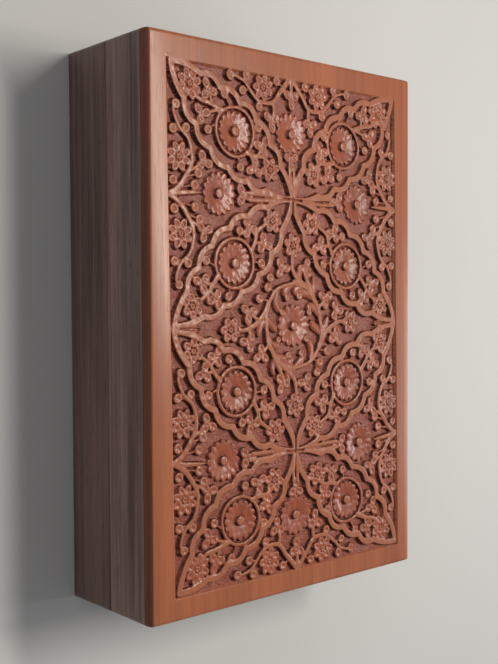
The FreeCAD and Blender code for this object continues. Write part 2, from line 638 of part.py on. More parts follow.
def flowers_and_stems():
    faces = []
    for side_x in (-1, 1):
        for side_y in (-1, 1):
            def at(share_x, share_y):
                return Vector(side_x * share_x * FIELD_X, side_y * share_y * FIELD_Y, 0)

            faces += [flower_face(at(x, y)) for x, y in FLOWERS]
            faces.append(stem_face([at(x, y) for x, y in END_STEM]))
            for way in (-1, 1):
                faces.append(stem_face([at(0.5 + way * x, y) for x, y in SIDE_STEM]))
    faces += [flower_face(Vector(x * FIELD_X, y * FIELD_Y, 0)) for x, y in MIDDLE_FLOWERS]
    return faces


def many_sided(centre, radius):
    return Part.Face(Part.makePolygon(ring_of_points(centre, radius, RING_SIDES)))


def lens_axes():
    """Eight cartouches run from the corners to two crossings and on to the middles of the long sides."""
    crossing = FIELD_X / 2
    axes = []
    for side_x in (-1, 1):
        for side_y in (-1, 1):
            meeting = Vector(side_x * crossing, 0, 0)
            axes.append((Vector(side_x * FIELD_X, side_y * FIELD_Y, 0), meeting))
            axes.append((meeting, Vector(0, side_y * FIELD_Y, 0)))
    return axes


def rosette_centres():
    lens_middles = [(start + end) / 2 for start, end in lens_axes()]
    free = [Vector(0, 0, 0)]
    for side in (-1, 1):
        free.append(Vector(side * FIELD_X * 0.77, 0, 0))
        free.append(Vector(FIELD_X / 2, side * FIELD_Y * 0.61, 0))
        free.append(Vector(-FIELD_X / 2, side * FIELD_Y * 0.61, 0))
    return lens_middles, free


def relief_faces():
    faces = []
    overlap = size("band_width") * 0.8
    for start, end in lens_axes():
        stretch = (end - start).normalize() * overlap
        band = lens_face(start - stretch, end + stretch, 0)
        faces.append(band.cut(lens_face(start - stretch, end + stretch, size("band_width"))))
    lens_middles, free = rosette_centres()
    for centre in lens_middles:
        inner = many_sided(centre, size("ring_radius - ring_width"))
        faces.append(many_sided(centre, size("ring_radius")).cut(inner))
    for centre in lens_middles + free:
        faces.append(rosette_face(centre))
    return faces + flowers_and_stems()


def rosette_bowl():
    """The faceted dish between a rosette's boss and its rim, one flat facet to a petal."""
    petals = int(size("rosette_petals"))
    rim, boss, dish = size("rosette_radius") * 0.86, size("boss_radius"), size("dish_depth")
    wide = ring_of_points(Vector(0, 0, dish), 2 * rim - boss, petals)
    narrow = ring_of_points(Vector(0, 0, -dish), boss, petals)
    facets = [Part.Face(Part.makePolygon(wide)), Part.Face(Part.makePolygon(narrow))]
    for i in range(petals):
        edge = [wide[i], wide[i + 1], narrow[i + 1], narrow[i], wide[i]]
        facets.append(Part.Face(Part.makePolygon(edge)))
    funnel = Part.makeSolid(Part.makeShell(facets))
    core = Part.Face(Part.makePolygon(ring_of_points(Vector(0, 0, -2 * dish), boss, petals)))
    return funnel.cut(core.extrude(Vector(0, 0, 4 * dish)))


def carving_tool():
    """What the carver takes away: the sunk ground and the dish round each rosette's boss."""
    top, deep = size(LID_TOP), size("carve_depth")
    field = Part.makePlane(2 * FIELD_X, 2 * FIELD_Y, Vector(-FIELD_X, -FIELD_Y, 0))
    ground = field.cut(relief_faces())
    ground.translate(Vector(0, 0, top - deep))
    removed = [face.extrude(Vector(0, 0, deep + 1)) for face in ground.Faces]
    bowl = rosette_bowl()
    lens_middles, free = rosette_centres()
    removed += [bowl.translated(centre + Vector(0, 0, top)) for centre in lens_middles + free]
    return Part.makeCompound(removed)


carving = doc.addObject("Part::Feature", "carving_ground")
carving.Shape = carving_tool()
carved_top_panel = doc.addObject("Part::Cut", "carved_top_panel")
carved_top_panel.Base = board
carved_top_panel.Tool = carving
carved_top_panel.Label = "carved_top_panel"
subparts.append(carved_top_panel)

doc.recompute()
for item in doc.Objects:
    if "Invalid" in item.State or "Error" in item.State:
        raise RuntimeError(f"{item.Name} did not rebuild: {item.State}")
for item in subparts:
    if item.Shape.isNull() or not item.Shape.isValid():
        raise RuntimeError(f"{item.Label} has no valid shape")

os.makedirs("parts", exist_ok=True)
for item in subparts:
    item.Shape.exportStep(f"parts/{item.Label}.step")
print(len(subparts), "sub-parts written")
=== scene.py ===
import math

import bmesh
import bpy
import numpy as np
from bpy.props import FloatProperty, FloatVectorProperty, IntProperty, PointerProperty
from mathutils import Matrix, Vector


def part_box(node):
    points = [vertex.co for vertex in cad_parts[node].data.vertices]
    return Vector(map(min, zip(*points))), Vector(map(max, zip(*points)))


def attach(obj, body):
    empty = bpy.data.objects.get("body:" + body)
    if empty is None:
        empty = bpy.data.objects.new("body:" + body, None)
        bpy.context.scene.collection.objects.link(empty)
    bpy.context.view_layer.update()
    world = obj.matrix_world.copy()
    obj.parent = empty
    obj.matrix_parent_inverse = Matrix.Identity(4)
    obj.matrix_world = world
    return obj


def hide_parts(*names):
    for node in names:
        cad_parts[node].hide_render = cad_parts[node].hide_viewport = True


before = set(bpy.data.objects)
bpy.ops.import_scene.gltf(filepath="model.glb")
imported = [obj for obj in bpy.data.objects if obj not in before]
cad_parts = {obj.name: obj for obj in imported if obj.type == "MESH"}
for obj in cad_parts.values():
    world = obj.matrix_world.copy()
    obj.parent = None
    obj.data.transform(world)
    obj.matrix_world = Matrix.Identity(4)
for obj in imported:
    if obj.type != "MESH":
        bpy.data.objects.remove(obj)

bl_info = {
    "name": "Carved puzzle box",
    "version": (1, 0, 0),
    "blender": (4, 5, 0),
    "location": "3D View > Sidebar > Puzzle Box",
    "description": "Dresses the packed puzzle box: carved lid board, woods, brass fittings and studio",
    "category": "Object",
}

MM = 0.001
RANDOM_SEED = 11


# Settings
class CarvingSettings(bpy.types.PropertyGroup):
    """Sizes of the carved lid board"""
    depth: FloatProperty(
        name="Depth", description="Depth of the sunk ground below the margin",
        default=2.0 * MM, unit="LENGTH")
    cell: FloatProperty(
        name="Cell", description="Size of one cell of the carved surface",
        default=0.28 * MM, unit="LENGTH")
    side_margin: FloatProperty(
        name="Side margin", description="Plain wood left along the long sides",
        default=10.6 * MM, unit="LENGTH")
    end_margin: FloatProperty(
        name="End margin", description="Plain wood left along the ends",
        default=9.0 * MM, unit="LENGTH")
    left_inset: FloatProperty(
        name="Left inset", description="Extra plain wood at the left end",
        default=1.4 * MM, unit="LENGTH")
    band: FloatProperty(
        name="Band", description="Width of the bands that edge the cartouches",
        default=2.9 * MM, unit="LENGTH")
    cartouche_half_width: FloatProperty(
        name="Cartouche half width",
        description="From the middle line to the widest cusps of a cartouche",
        default=11.8 * MM, unit="LENGTH")
    rosette: FloatProperty(
        name="Rosette", description="Radius of a free rosette",
        default=8.8 * MM, unit="LENGTH")
    petals: IntProperty(
        name="Petals", description="Petals of a rosette", default=16, min=6)
    field_skew: FloatProperty(
        name="Field skew", description="How far the hand-set field leans across the board, per length",
        default=0.0124, precision=4)
    waver: FloatProperty(
        name="Waver", description="How far the hand-cut lines wander",
        default=0.3 * MM, unit="LENGTH")
    bevel_fall: FloatProperty(
        name="Bevel fall", description="Height of the bevel along the long edges",
        default=3.6 * MM, unit="LENGTH")
    bevel_reach: FloatProperty(
        name="Bevel reach", description="Width of that bevel, seen from above",
        default=1.8 * MM, unit="LENGTH")
    roll: FloatProperty(
        name="Roll", description="How far the top rolls down towards the bevel",
        default=0.3 * MM, unit="LENGTH")
    end_round: FloatProperty(
        name="End round", description="Radius of the round-over at the ends and corners",
        default=1.5 * MM, unit="LENGTH")


class FinishSettings(bpy.types.PropertyGroup):
    """Colours of the woods and metals"""
    carved_dark: FloatVectorProperty(
        name="Carved wood, dark", description="Dark figure of the carved board",
        default=(0.166, 0.044, 0.027), size=3, subtype="COLOR")
    carved_light: FloatVectorProperty(
        name="Carved wood, light", description="Light figure of the carved board",
        default=(0.480, 0.130, 0.068), size=3, subtype="COLOR")
    margin_dark: FloatVectorProperty(
        name="Margin, dark", description="Dark figure of the plain margin",
        default=(0.250, 0.077, 0.037), size=3, subtype="COLOR")
    margin_light: FloatVectorProperty(
        name="Margin, light", description="Light figure of the plain margin",
        default=(0.500, 0.162, 0.075), size=3, subtype="COLOR")
    # Partly real wear, partly painted highlight: the paler colour of the carving's raised tops
    wear_and_highlight: FloatVectorProperty(
        name="Worn wood", description="Handled wood on the tops of the carving",
        default=(0.435, 0.164, 0.088), size=3, subtype="COLOR")
    ground: FloatVectorProperty(
        name="Sunk ground", description="Raw red wood of the pecked ground",
        default=(0.345, 0.094, 0.064), size=3, subtype="COLOR")
    outer_dark: FloatVectorProperty(
        name="Sides, dark", description="Dark figure of the outer boards",
        default=(0.048, 0.028, 0.025), size=3, subtype="COLOR")
    outer_light: FloatVectorProperty(
        name="Sides, light", description="Light figure of the outer boards",
        default=(0.420, 0.255, 0.222), size=3, subtype="COLOR")
    base_shade: FloatProperty(
        name="Base shade", description="How much of the lid's brightness the darker base boards have",
        default=0.72)
    # Painted shade: the bevel is the margin's own wood, darkened to this share because it faces away
    # from the light
    bevel_painted_shade: FloatProperty(
        name="Bevel shade", description="How much of the margin's brightness the bevel has",
        default=0.5)
    inner_dark: FloatVectorProperty(
        name="Inside, dark", description="Dark figure of the inner boards",
        default=(0.045, 0.026, 0.021), size=3, subtype="COLOR")
    inner_light: FloatVectorProperty(
        name="Inside, light", description="Light figure of the inner boards",
        default=(0.330, 0.195, 0.155), size=3, subtype="COLOR")
    brass: FloatVectorProperty(
        name="Brass", description="Bright brass",
        default=(0.640, 0.430, 0.150), size=3, subtype="COLOR")
    tarnish: FloatVectorProperty(
        name="Tarnish", description="Dulled brass",
        default=(0.240, 0.135, 0.045), size=3, subtype="COLOR")
    steel: FloatVectorProperty(
        name="Steel", description="Bare steel",
        default=(0.420, 0.410, 0.390), size=3, subtype="COLOR")


class StageSettings(bpy.types.PropertyGroup):
    """Camera and lights"""
    lens: FloatProperty(
        name="Lens", description="Focal length of the camera in millimetres",
        default=54.03, subtype="UNSIGNED")
    camera_place: FloatVectorProperty(
        name="Camera place", description="Where the camera stands",
        default=(-0.0125147, -0.2924613, 0.3648329), size=3, subtype="TRANSLATION", unit="LENGTH")
    key_power: FloatProperty(
        name="Key light", description="Power of the warm strip light overhead",
        default=5.85, unit="POWER")
    glint_power: FloatProperty(
        name="Glint light", description="Power of the low cool light behind the box",
        default=1.6, unit="POWER")
    fill_power: FloatProperty(
        name="Fill light", description="Power of the soft light in front",
        default=0.7, unit="POWER")
    sky: FloatProperty(
        name="Sky", description="Strength of the even light all round",
        default=0.20)


# Carved surface. Places, half widths and levels are in millimetres: places from the middle of the
# board, levels from the plain margin.

# A level below all wood, for the places that a form leaves as they are
NOTHING = -99.0

# Keeps a division or a comparison safe from rounding
TINY = 1e-9

# What every stem gains on its half width
STEM_BODY = 0.35

# Half widths of stems at the start and at the end
MAIN_STEM = (1.1, 0.5)
SIDE_STEM = (1.0, 0.7)
TWIG = (0.7, 0.5)
WEB = (0.8, 0.45)

# Radii inside the cartouches
RING_RADIUS = 9.9
RINGED_ROSETTE = 8.5

# Cusps of a cartouche, as shares of its length and of its half width
CUSPS = ((0.17, 0.53), (0.295, 0.805), (0.43, 1.0), (0.57, 1.0), (0.705, 0.805), (0.83, 0.53))


def smooth_path(points, steps=6):
    """Points along a smooth curve through the given ones."""
    ends = [points[0]] + list(points) + [points[-1]]
    knots = np.array(ends, dtype=float)
    path = []
    for i in range(1, len(knots) - 2):
        before, start, end, after = knots[i - 1:i + 3]
        for t in np.arange(steps) / steps:
            straight = 2 * start + (end - before) * t
            bend = (2 * before - 5 * start + 4 * end - after) * t ** 2
            twist = (3 * start - before - 3 * end + after) * t ** 3
            path.append((straight + bend + twist) / 2)
    path.append(knots[-1])
    return np.array(path)


class Relief:
    """Heights over a grid of places, raised by one carved form after another."""

    def __init__(self, x, y, ground):
        self.x = x
        self.y = y
        self.height = ground

    def near(self, low_x, high_x, low_y, high_y):
        """The places inside a rectangle."""
        between = (self.x > low_x) & (self.x < high_x)
        return np.nonzero(between & (self.y > low_y) & (self.y < high_y))

    def lift(self, where, level):
        self.height[where] = np.maximum(self.height[where], level)

    def ridge(self, points, start_half, end_half, top=-0.15, crown=0.6, edge=4.0,
              smooth=True, swell=0.0):
        """A rounded stem along the points, tapering between two half widths; with swell, a leaf."""
        path = smooth_path(points) if smooth else np.array(points, dtype=float)
        reach = max(start_half, end_half) + STEM_BODY + swell
        low, high = path.min(axis=0) - reach, path.max(axis=0) + reach
        where = self.near(low[0], high[0], low[1], high[1])
        x, y = self.x[where], self.y[where]
        level = np.full(x.shape, NOTHING)
        share = np.linspace(0, 1, len(path))
        halves = start_half + (end_half - start_half) * share + STEM_BODY
        halves = halves + swell * np.sin(math.pi * share)
        for start, end, half, next_half in zip(path, path[1:], halves, halves[1:]):
            run = end - start
            along = ((x - start[0]) * run[0] + (y - start[1]) * run[1]) / max(run @ run, TINY)
            along = np.clip(along, 0, 1)
            away = np.hypot(x - start[0] - along * run[0], y - start[1] - along * run[1])
            away = away / (half + (next_half - half) * along)
            level = np.maximum(level, np.where(away < 1, top - crown * away ** edge, NOTHING))
        self.lift(where, level)

    def groove(self, start, end, half, level=-1.5, narrow=0.3):
        """A slit between two bands that widens from a narrow start."""
        start, end = np.array(start), np.array(end)
        low, high = np.minimum(start, end) - half, np.maximum(start, end) + half
        where = self.near(low[0], high[0], low[1], high[1])
        run = end - start
        x, y = self.x[where] - start[0], self.y[where] - start[1]
        share = np.clip((x * run[0] + y * run[1]) / (run @ run), 0, 1)
        away = np.hypot(x - share * run[0], y - share * run[1])
        slit = away < half * (narrow + (1 - narrow) * share)
        height = self.height[where]
        self.height[where] = np.where(slit, np.minimum(height, level), height)

    def cup(self, x, y, radius, top=-0.25, hollow=0.5, longer=1.0, turn=0.0):
        """A round or oval petal with a spoon-shaped hollow and a rounded rim."""
        hollow_rate, rim_fall = 1.3, 0.45
        reach = radius * max(longer, 1)
        where = self.near(x - reach, x + reach, y - reach, y + reach)
        off_x, off_y = self.x[where] - x, self.y[where] - y
        along = off_x * math.cos(turn) + off_y * math.sin(turn)
        across = off_y * math.cos(turn) - off_x * math.sin(turn)
        away = np.hypot(along / longer, across) / radius
        bowl = np.cos(np.minimum(away * hollow_rate, 1) * math.pi / 2) ** 2
        level = top - hollow * bowl - rim_fall * away ** 6
        self.lift(where, np.where(away < 1, level, NOTHING))

    def cluster(self, x, y, count, reach, radius, turn=0.0, longer=1.2, hollow=0.36):
        """Petals set evenly round a point."""
        for i in range(count):
            angle = turn + 2 * math.pi * i / count
            place = (x + reach * math.cos(angle), y + reach * math.sin(angle))
            self.cup(*place, radius, hollow=hollow, longer=longer, turn=angle)

    def trefoil(self, x, y, turn):
        """Three buds round a point."""
        self.cluster(x, y, count=3, reach=2.5, radius=2.15, turn=turn)

    def flower(self, x, y, petals=6, turn=0.0, reach=3.45):
        """A flower of oval petals round a hollow heart."""
        heart, widest, overlap = 1.3, 1.95, 1.16
        radius = min(widest, overlap * reach * math.pi / petals)
        self.cluster(x, y, petals, reach, radius, turn, longer=(reach - heart) / radius)
        self.cup(x, y, heart, top=-0.1)

    def berry(self, x, y, stem_x, stem_y):
        """A round bud on a thin low stem."""
        self.cup(x, y, radius=2.2, top=-0.1, hollow=0.4)
        self.ridge([(stem_x, stem_y), (x, y)], start_half=0.35, end_half=0.2, top=-0.5)

    def leaf(self, points, width, berry=True):
        """A curled leaf that ends in a point or in a round berry."""
        stalk = 0.35
        self.ridge(points, stalk, stalk, top=-0.35, crown=0.7, edge=2.0, swell=width)
        if berry:
            self.cup(*points[-1], radius=1.55, top=-0.1, hollow=0.35)

    def rosette(self, x, y, radius, petals):
        """A shallow dish of fluted petals with a scalloped edge round a raised boss."""
        boss, boss_fall = 2.1, 0.4
        moat_width, moat_level = 0.6, -1.7
        dish_start, dish_level, dish_rise = 0.2, -1.5, 1.05
        edge_fall, scallop = 0.3, 0.2
        flute, flute_middle, flute_fade = 0.2, 0.8, 0.4
        where = self.near(x - radius, x + radius, y - radius, y + radius)
        off_x, off_y = self.x[where] - x, self.y[where] - y
        away = np.hypot(off_x, off_y)
        crest = np.abs(np.cos(petals * np.arctan2(off_y, off_x) / 2))
        share = away / (radius * (1 - scallop + scallop * crest ** 0.5))
        fade = np.clip((away - boss) / (flute_fade * radius), 0, 1)
        dish = dish_level + dish_rise * (share - dish_start) / (1 - dish_start)
        dish = dish - edge_fall * share ** 12 + flute * fade * (crest - flute_middle)
        level = np.where(share < 1, dish, NOTHING)
        level = np.where(away < boss + moat_width, np.minimum(level, moat_level), level)
        level = np.where(away < boss, -boss_fall * (away / boss) ** 4, level)
        self.lift(where, level)

    def ring(self, x, y, radius, half=0.95, top=-0.3, crown=0.5):
        """A rounded hoop."""
        reach = radius + half
        where = self.near(x - reach, x + reach, y - reach, y + reach)
        away = np.abs(np.hypot(self.x[where] - x, self.y[where] - y) - radius) / half
        self.lift(where, np.where(away < 1, top - crown * away ** 3, NOTHING))


def lobed_side(start, end, half_width, side):
    """Points of one edge of a cartouche: cusps on a bow, joined by lobes that swell outward."""
    tip_rise, lobe_rise, steps = 0.07, 0.20, 8
    start, end = np.array(start, dtype=float), np.array(end, dtype=float)
    run = end - start
    across = side * np.array([run[1], -run[0]]) / np.hypot(*run)
    cusps = [start + run * share + across * half_width * width for share, width in CUSPS]
    corners = [start] + cusps + [end]
    path = []
    for i, (first, last) in enumerate(zip(corners, corners[1:])):
        chord = last - first
        outward = side * np.array([chord[1], -chord[0]])
        rise = tip_rise if i in (0, len(CUSPS)) else lobe_rise
        for t in np.arange(steps) / steps:
            path.append(first + chord * t + outward * 4 * rise * t * (1 - t))
    path.append(end)
    return path


def add_cartouche(relief, start, end, half_widths, band):
    """The cusped band, with its own half width on either side of the middle line."""
    half_band = band / 2 - STEM_BODY
    for side, half_width in zip((-1, 1), half_widths):
        path = lobed_side(start, end, half_width, side)
        relief.ridge(path, half_band, half_band, top=-0.03, crown=0.3, edge=8.0, smooth=False)


def add_bands(relief, settings, half_x, half_y):
    """The two cartouches of a quarter, the slits at the crossing and the web at the long side."""
    corner_tip, side_tip, side_gap = 2.0, 1.8, 0.9
    crossing_share, fuller = 0.51, 1.12
    slit, slit_half = 11.0, 0.75
    web_slit, web_tip, web_halves = 4.5, 14.0, (2.0, 0.9)
    band = settings.band / MM
    half_width = settings.cartouche_half_width / MM
    crossing = (-crossing_share * half_x, 0.0)
    corner = (corner_tip - half_x, corner_tip - half_y)
    add_cartouche(relief, corner, crossing, (half_width, fuller * half_width), band)
    add_cartouche(relief, crossing, (-side_gap, side_tip - half_y), (half_width, half_width), band)
    for shift_x, shift_y in ((0.0, -slit), (-slit, 0.0), (slit, 0.0)):
        relief.groove(crossing, (crossing[0] + shift_x, shift_y), slit_half)
    web_end = (0.0, web_tip - half_y)
    relief.ridge([(0.0, side_tip - half_y), web_end], *web_halves, smooth=False)
    relief.groove((0.0, web_slit - half_y), web_end, slit_half)


def add_corner_cartouche(relief, petals):
    """What fills the cartouche from a corner to the crossing."""
    relief.ring(-79.1, -31.2, RING_RADIUS)
    relief.rosette(-79.1, -31.2, RINGED_ROSETTE, petals)
    relief.flower(-95.2, -54.2, petals=8, turn=0.3, reach=3.95)
    relief.flower(-65.1, -12.7, turn=0.7)
    relief.ridge([(-87.0, -37.5), (-89.0, -44.0), (-90.0, -49.5), (-92.5, -52.5)], *SIDE_STEM)
    relief.ridge([(-71.3, -25.2), (-70.4, -21.0), (-70.2, -16.5), (-68.0, -13.5)], *SIDE_STEM)
    relief.trefoil(-94.2, -44.6, 3.5)
    relief.trefoil(-84.4, -48.2, 3.9)
    relief.trefoil(-74.8, -16.6, 0.4)
    relief.trefoil(-65.2, -21.3, 0.9)
    relief.ridge([(-88.6, -43.0), (-91.8, -43.6)], *TWIG)
    relief.ridge([(-86.8, -40.0), (-85.4, -44.5)], *TWIG)
    relief.ridge([(-70.4, -19.5), (-72.8, -18.0)], *TWIG)
    relief.ridge([(-70.6, -23.2), (-67.6, -22.2)], *TWIG)
    for x, y, stem_x, stem_y in ((-93.9, -36.5, -88.3, -32.6), (-78.4, -45.3, -81.6, -40.6),
                                 (-81.8, -18.9, -77.8, -21.5), (-65.1, -28.9, -69.6, -29.8)):
        relief.berry(x, y, stem_x, stem_y)


def add_middle_cartouche(relief, petals):
    """What fills the cartouche from the crossing to the middle of a long side."""
    relief.ring(-26.0, -32.3, RING_RADIUS)
    relief.rosette(-26.0, -32.3, RINGED_ROSETTE, petals)
    relief.flower(-43.9, -11.5, turn=0.5)
    relief.flower(-8.7, -54.5, turn=0.1)
    relief.ridge([(-21.2, -41.0), (-17.5, -44.2), (-14.2, -46.6), (-11.6, -50.0)], *SIDE_STEM)
    relief.ridge([(-30.8, -23.6), (-35.4, -21.4), (-39.6, -20.0), (-42.6, -15.4)], *SIDE_STEM)
    relief.trefoil(-18.0, -49.4, 4.4)
    relief.trefoil(-11.4, -42.8, 0.6)
    relief.trefoil(-40.4, -24.6, 3.6)
    relief.trefoil(-34.4, -16.2, 1.3)
    relief.ridge([(-17.5, -44.0), (-17.8, -47.6)], *TWIG)
    relief.ridge([(-15.0, -45.6), (-12.8, -43.6)], *TWIG)
    relief.ridge([(-37.0, -20.8), (-39.2, -23.2)], *TWIG)
    relief.ridge([(-34.6, -21.4), (-34.6, -18.0)], *TWIG)
    for x, y, stem_x, stem_y in ((-12.7, -36.0, -16.6, -34.6), (-26.8, -47.0, -24.4, -42.0),
                                 (-39.1, -29.9, -35.4, -30.6), (-26.5, -18.0, -27.4, -22.6)):
        relief.berry(x, y, stem_x, stem_y)


def add_side_branch(relief, mirrored):
    """One half of the side spray; the other is mirrored about the line where the stems start."""
    middle = -52.0

    def at(x, y):
        return (2 * middle - x, y) if mirrored else (x, y)

    stem = [(-51.9, -65.0), (-55.1, -59.9), (-60.3, -56.0), (-65.1, -53.4), (-70.3, -53.7),
            (-74.6, -55.6), (-78.4, -59.9), (-84.1, -62.2), (-86.5, -61.2)]
    relief.ridge([at(x, y) for x, y in stem], *MAIN_STEM)
    relief.flower(*at(-66.9, -59.9), petals=8, turn=0.4, reach=3.9)
    for x, y, stem_x, stem_y in ((-86.8, -60.8, -84.1, -62.2), (-77.4, -62.8, -76.6, -58.2),
                                 (-78.2, -56.2, -75.6, -56.4), (-57.6, -62.6, -56.0, -59.4),
                                 (-60.8, -50.4, -58.8, -57.0), (-56.2, -52.6, -54.6, -60.4)):
        relief.berry(*at(x, y), *at(stem_x, stem_y))
    relief.trefoil(*at(-65.6, -47.6), turn=1.9 if mirrored else 1.3)
    relief.ridge([at(-61.2, -55.6), at(-63.0, -52.0), at(-65.0, -49.6)], 0.6, 0.3)


def add_side_spray(relief, rosette_radius, petals):
    """The spray that grows from a long side towards the crossing."""
    relief.rosette(-53.6, -39.8, rosette_radius, petals)
    for mirrored in (False, True):
        add_side_branch(relief, mirrored)
    relief.ridge([(-52.0, -65.0), (-53.0, -57.0), (-53.4, -49.4)], 0.7, 0.0, swell=0.5)
    relief.trefoil(-53.8, -27.2, 1.57)
    for shift in (-1.3, 1.3):
        web = [(-53.6 + shift, -24.0), (-53.6 + 0.8 * shift, -14.0), (-53.5 + 0.3 * shift, -6.0)]
        relief.ridge(web, *WEB)


def add_end_spray(relief, rosette_radius, petals):
    """The spray that grows from an end towards the crossing."""
    relief.rosette(-81.4, 0.0, rosette_radius + 0.2, petals)
    stem = [(-104.5, -0.6), (-101.0, -3.4), (-97.5, -6.5), (-93.4, -9.6), (-92.0, -13.7),
            (-93.0, -18.9), (-96.5, -22.7), (-100.3, -26.4), (-101.8, -31.0)]
    relief.ridge(stem, *MAIN_STEM)
    relief.flower(-98.7, -15.8, petals=7, turn=0.2, reach=3.7)
    for x, y, stem_x, stem_y in ((-101.6, -33.6, -101.8, -30.6), (-102.6, -25.2, -98.6, -24.6),
                                 (-96.6, -27.4, -97.2, -23.6), (-102.0, -8.2, -100.2, -4.4),
                                 (-90.2, -18.2, -92.6, -15.8)):
        relief.berry(x, y, stem_x, stem_y)
    relief.trefoil(-85.4, -11.2, 0.0)
    relief.ridge([(-92.6, -10.4), (-89.6, -9.8), (-87.4, -10.6)], 1.0, 0.6)
    relief.trefoil(-96.0, 0.0, 0.0)
    relief.ridge([(-105.0, 0.0), (-98.4, 0.0)], 1.3, 0.7)
    relief.trefoil(-69.8, 0.0, 0.0)
    relief.ridge([(-66.4, -1.3), (-61.0, -1.0), (-55.0, -0.4)], *WEB)


def add_wreath_half(relief, half):
    """Half of the centre wreath; half is 1 or -1 and turns it about the middle."""
    def at(x, y):
        return (half * x, half * y)

    def stem(points, start_half, end_half):
        relief.ridge([at(*point) for point in points], start_half, end_half)

    def leaf(points, width, berry=True):
        relief.leaf([at(*point) for point in points], width, berry)

    relief.flower(*at(-34.2, 0.0), turn=0.2)
    relief.flower(*at(1.0, -35.0), turn=0.5)
    stem([(-18.0, 2.1), (-17.2, -3.9), (-15.4, -9.8), (-11.4, -13.6), (-6.3, -15.9), (-1.8, -16.2),
          (2.7, -15.5), (6.8, -14.7), (10.4, -12.8), (13.9, -10.0), (16.3, -7.3),
          (18.0, -0.3)], 0.6, 1.2)
    stem([(-9.2, -14.9), (-4.8, -17.7), (-1.0, -22.2), (1.1, -27.1), (1.2, -30.6)], 1.2, 0.7)
    stem([(10.6, -12.5), (16.0, -10.1), (20.6, -7.1), (23.0, -6.4)], 1.1, 0.7)
    stem([(16.3, -7.3), (19.8, -2.4), (23.8, 0.6), (29.4, 1.0)], 1.3, 0.7)
    leaf([(-14.8, -9.4), (-10.7, -10.4), (-7.9, -9.3), (-6.0, -6.9)], 1.3)
    leaf([(-17.5, 0.8), (-15.7, -3.0), (-13.9, -4.7), (-11.8, -3.7)], 1.2)
    leaf([(-15.8, 7.1), (-15.8, 3.4), (-14.4, 1.6), (-12.5, 3.9)], 1.1)
    leaf([(-4.4, -15.7), (-1.8, -13.6), (0.2, -11.4), (1.7, -10.4)], 1.4, berry=False)
    leaf([(3.4, -14.9), (7.2, -12.6), (8.2, -9.6), (5.7, -9.1)], 1.2)
    leaf([(10.6, -12.5), (13.2, -8.7), (13.8, -5.6), (12.4, -3.4)], 1.2)
    leaf([(-3.0, -16.8), (0.6, -19.4), (3.6, -20.4)], 1.1, berry=False)
    leaf([(13.0, -11.6), (17.6, -12.4), (20.4, -12.0)], 1.0, berry=False)
    leaf([(17.6, -4.8), (22.2, -3.6), (25.4, -3.9)], 1.1, berry=False)
    for x, y, turn in ((-5.5, -25.3, 4.0), (6.2, -26.0, 4.6), (11.8, -19.0, 5.2), (-24.6, -6.6, 3.6),
                       (-24.4, 7.3, 2.7)):
        relief.trefoil(*at(x, y), turn if half > 0 else turn + math.pi)
    for x, y, stem_x, stem_y in ((-20.6, -13.4, -16.3, -13.0), (-16.3, -15.0, -14.6, -11.4),
                                 (-11.5, -19.6, -10.6, -14.4)):
        relief.berry(*at(x, y), *at(stem_x, stem_y))
    stem([(-2.6, -20.2), (-4.4, -23.4)], 0.8, 0.5)
    stem([(0.6, -25.4), (4.6, -25.4)], 0.8, 0.5)
    stem([(7.6, -14.4), (10.2, -17.2)], 0.9, 0.5)


def add_centre_wreath(relief, rosette_radius, petals):
    """A wreath of stems and curling leaves round the middle rosette, the same at every half turn."""
    relief.rosette(0.0, 0.0, rosette_radius, petals)
    for half in (1, -1):
        add_wreath_half(relief, half)


def wander(x, y, seed, length):
    """A smooth value that wanders, mostly between -1 and 1, in waves of about the given length."""
    waves, shortest, longest = 6, 0.7, 1.4
    chance = np.random.default_rng(seed)
    total = np.zeros_like(x)
    for _ in range(waves):
        angle = chance.uniform(0, math.tau)
        wave = math.tau / (length * chance.uniform(shortest, longest))
        start = chance.uniform(0, math.tau)
        total += np.sin((x * math.cos(angle) + y * math.sin(angle)) * wave + start)
    return total / (waves / 2)


def carve(x, y, settings, half_x, half_y):
    """Levels of the whole carved field at the places x, y; half_x and half_y are its half sizes."""
    waver_length, hollow_length, mark_length = 30, 9, 3.2
    peck, hollow, mark = 0.35, 0.12, 0.05
    centre_size = 1.06
    waver = settings.waver / MM
    warp_x = x + waver * wander(x, y, RANDOM_SEED, waver_length)
    warp_y = y + waver * wander(x, y, RANDOM_SEED + 1, waver_length)
    chance = np.random.default_rng(RANDOM_SEED)
    ground = peck * chance.random(x.shape) ** 2 - settings.depth / MM
    ground = ground + hollow * wander(x, y, RANDOM_SEED + 2, hollow_length)
    rosette, petals = settings.rosette / MM, settings.petals
    quarter = Relief(-np.abs(warp_x), -np.abs(warp_y), ground)
    add_bands(quarter, settings, half_x, half_y)
    add_corner_cartouche(quarter, petals)
    add_middle_cartouche(quarter, petals)
    add_side_spray(quarter, rosette, petals)
    add_end_spray(quarter, rosette, petals)
    centre = Relief(warp_x, warp_y, quarter.height)
    add_centre_wreath(centre, centre_size * rosette, petals)
    tool_marks = mark * wander(x, y, RANDOM_SEED + 3, mark_length)
    left_margin = x < settings.left_inset / MM - half_x
    return np.where(left_margin, 0.0, centre.height + tool_marks)


# Mesh helpers
def new_object(name, vertices, faces, material, smooth=True):
    mesh = bpy.data.meshes.new(name)
    mesh.from_pydata(vertices, [], faces)
    mesh.update()
    if smooth:
        mesh.shade_smooth()
    mesh.materials.append(material)
    piece = bpy.data.objects.new(name, mesh)
    bpy.context.collection.objects.link(piece)
    return piece


def rounded_steps(radius, steps=6):
    """Distances from a rounded edge inward, close together where the round-over is steep."""
    flat = 1.2 * radius
    angles = np.linspace(0, math.pi / 2, steps)
    return np.append(radius * (1 - np.cos(angles)), flat)


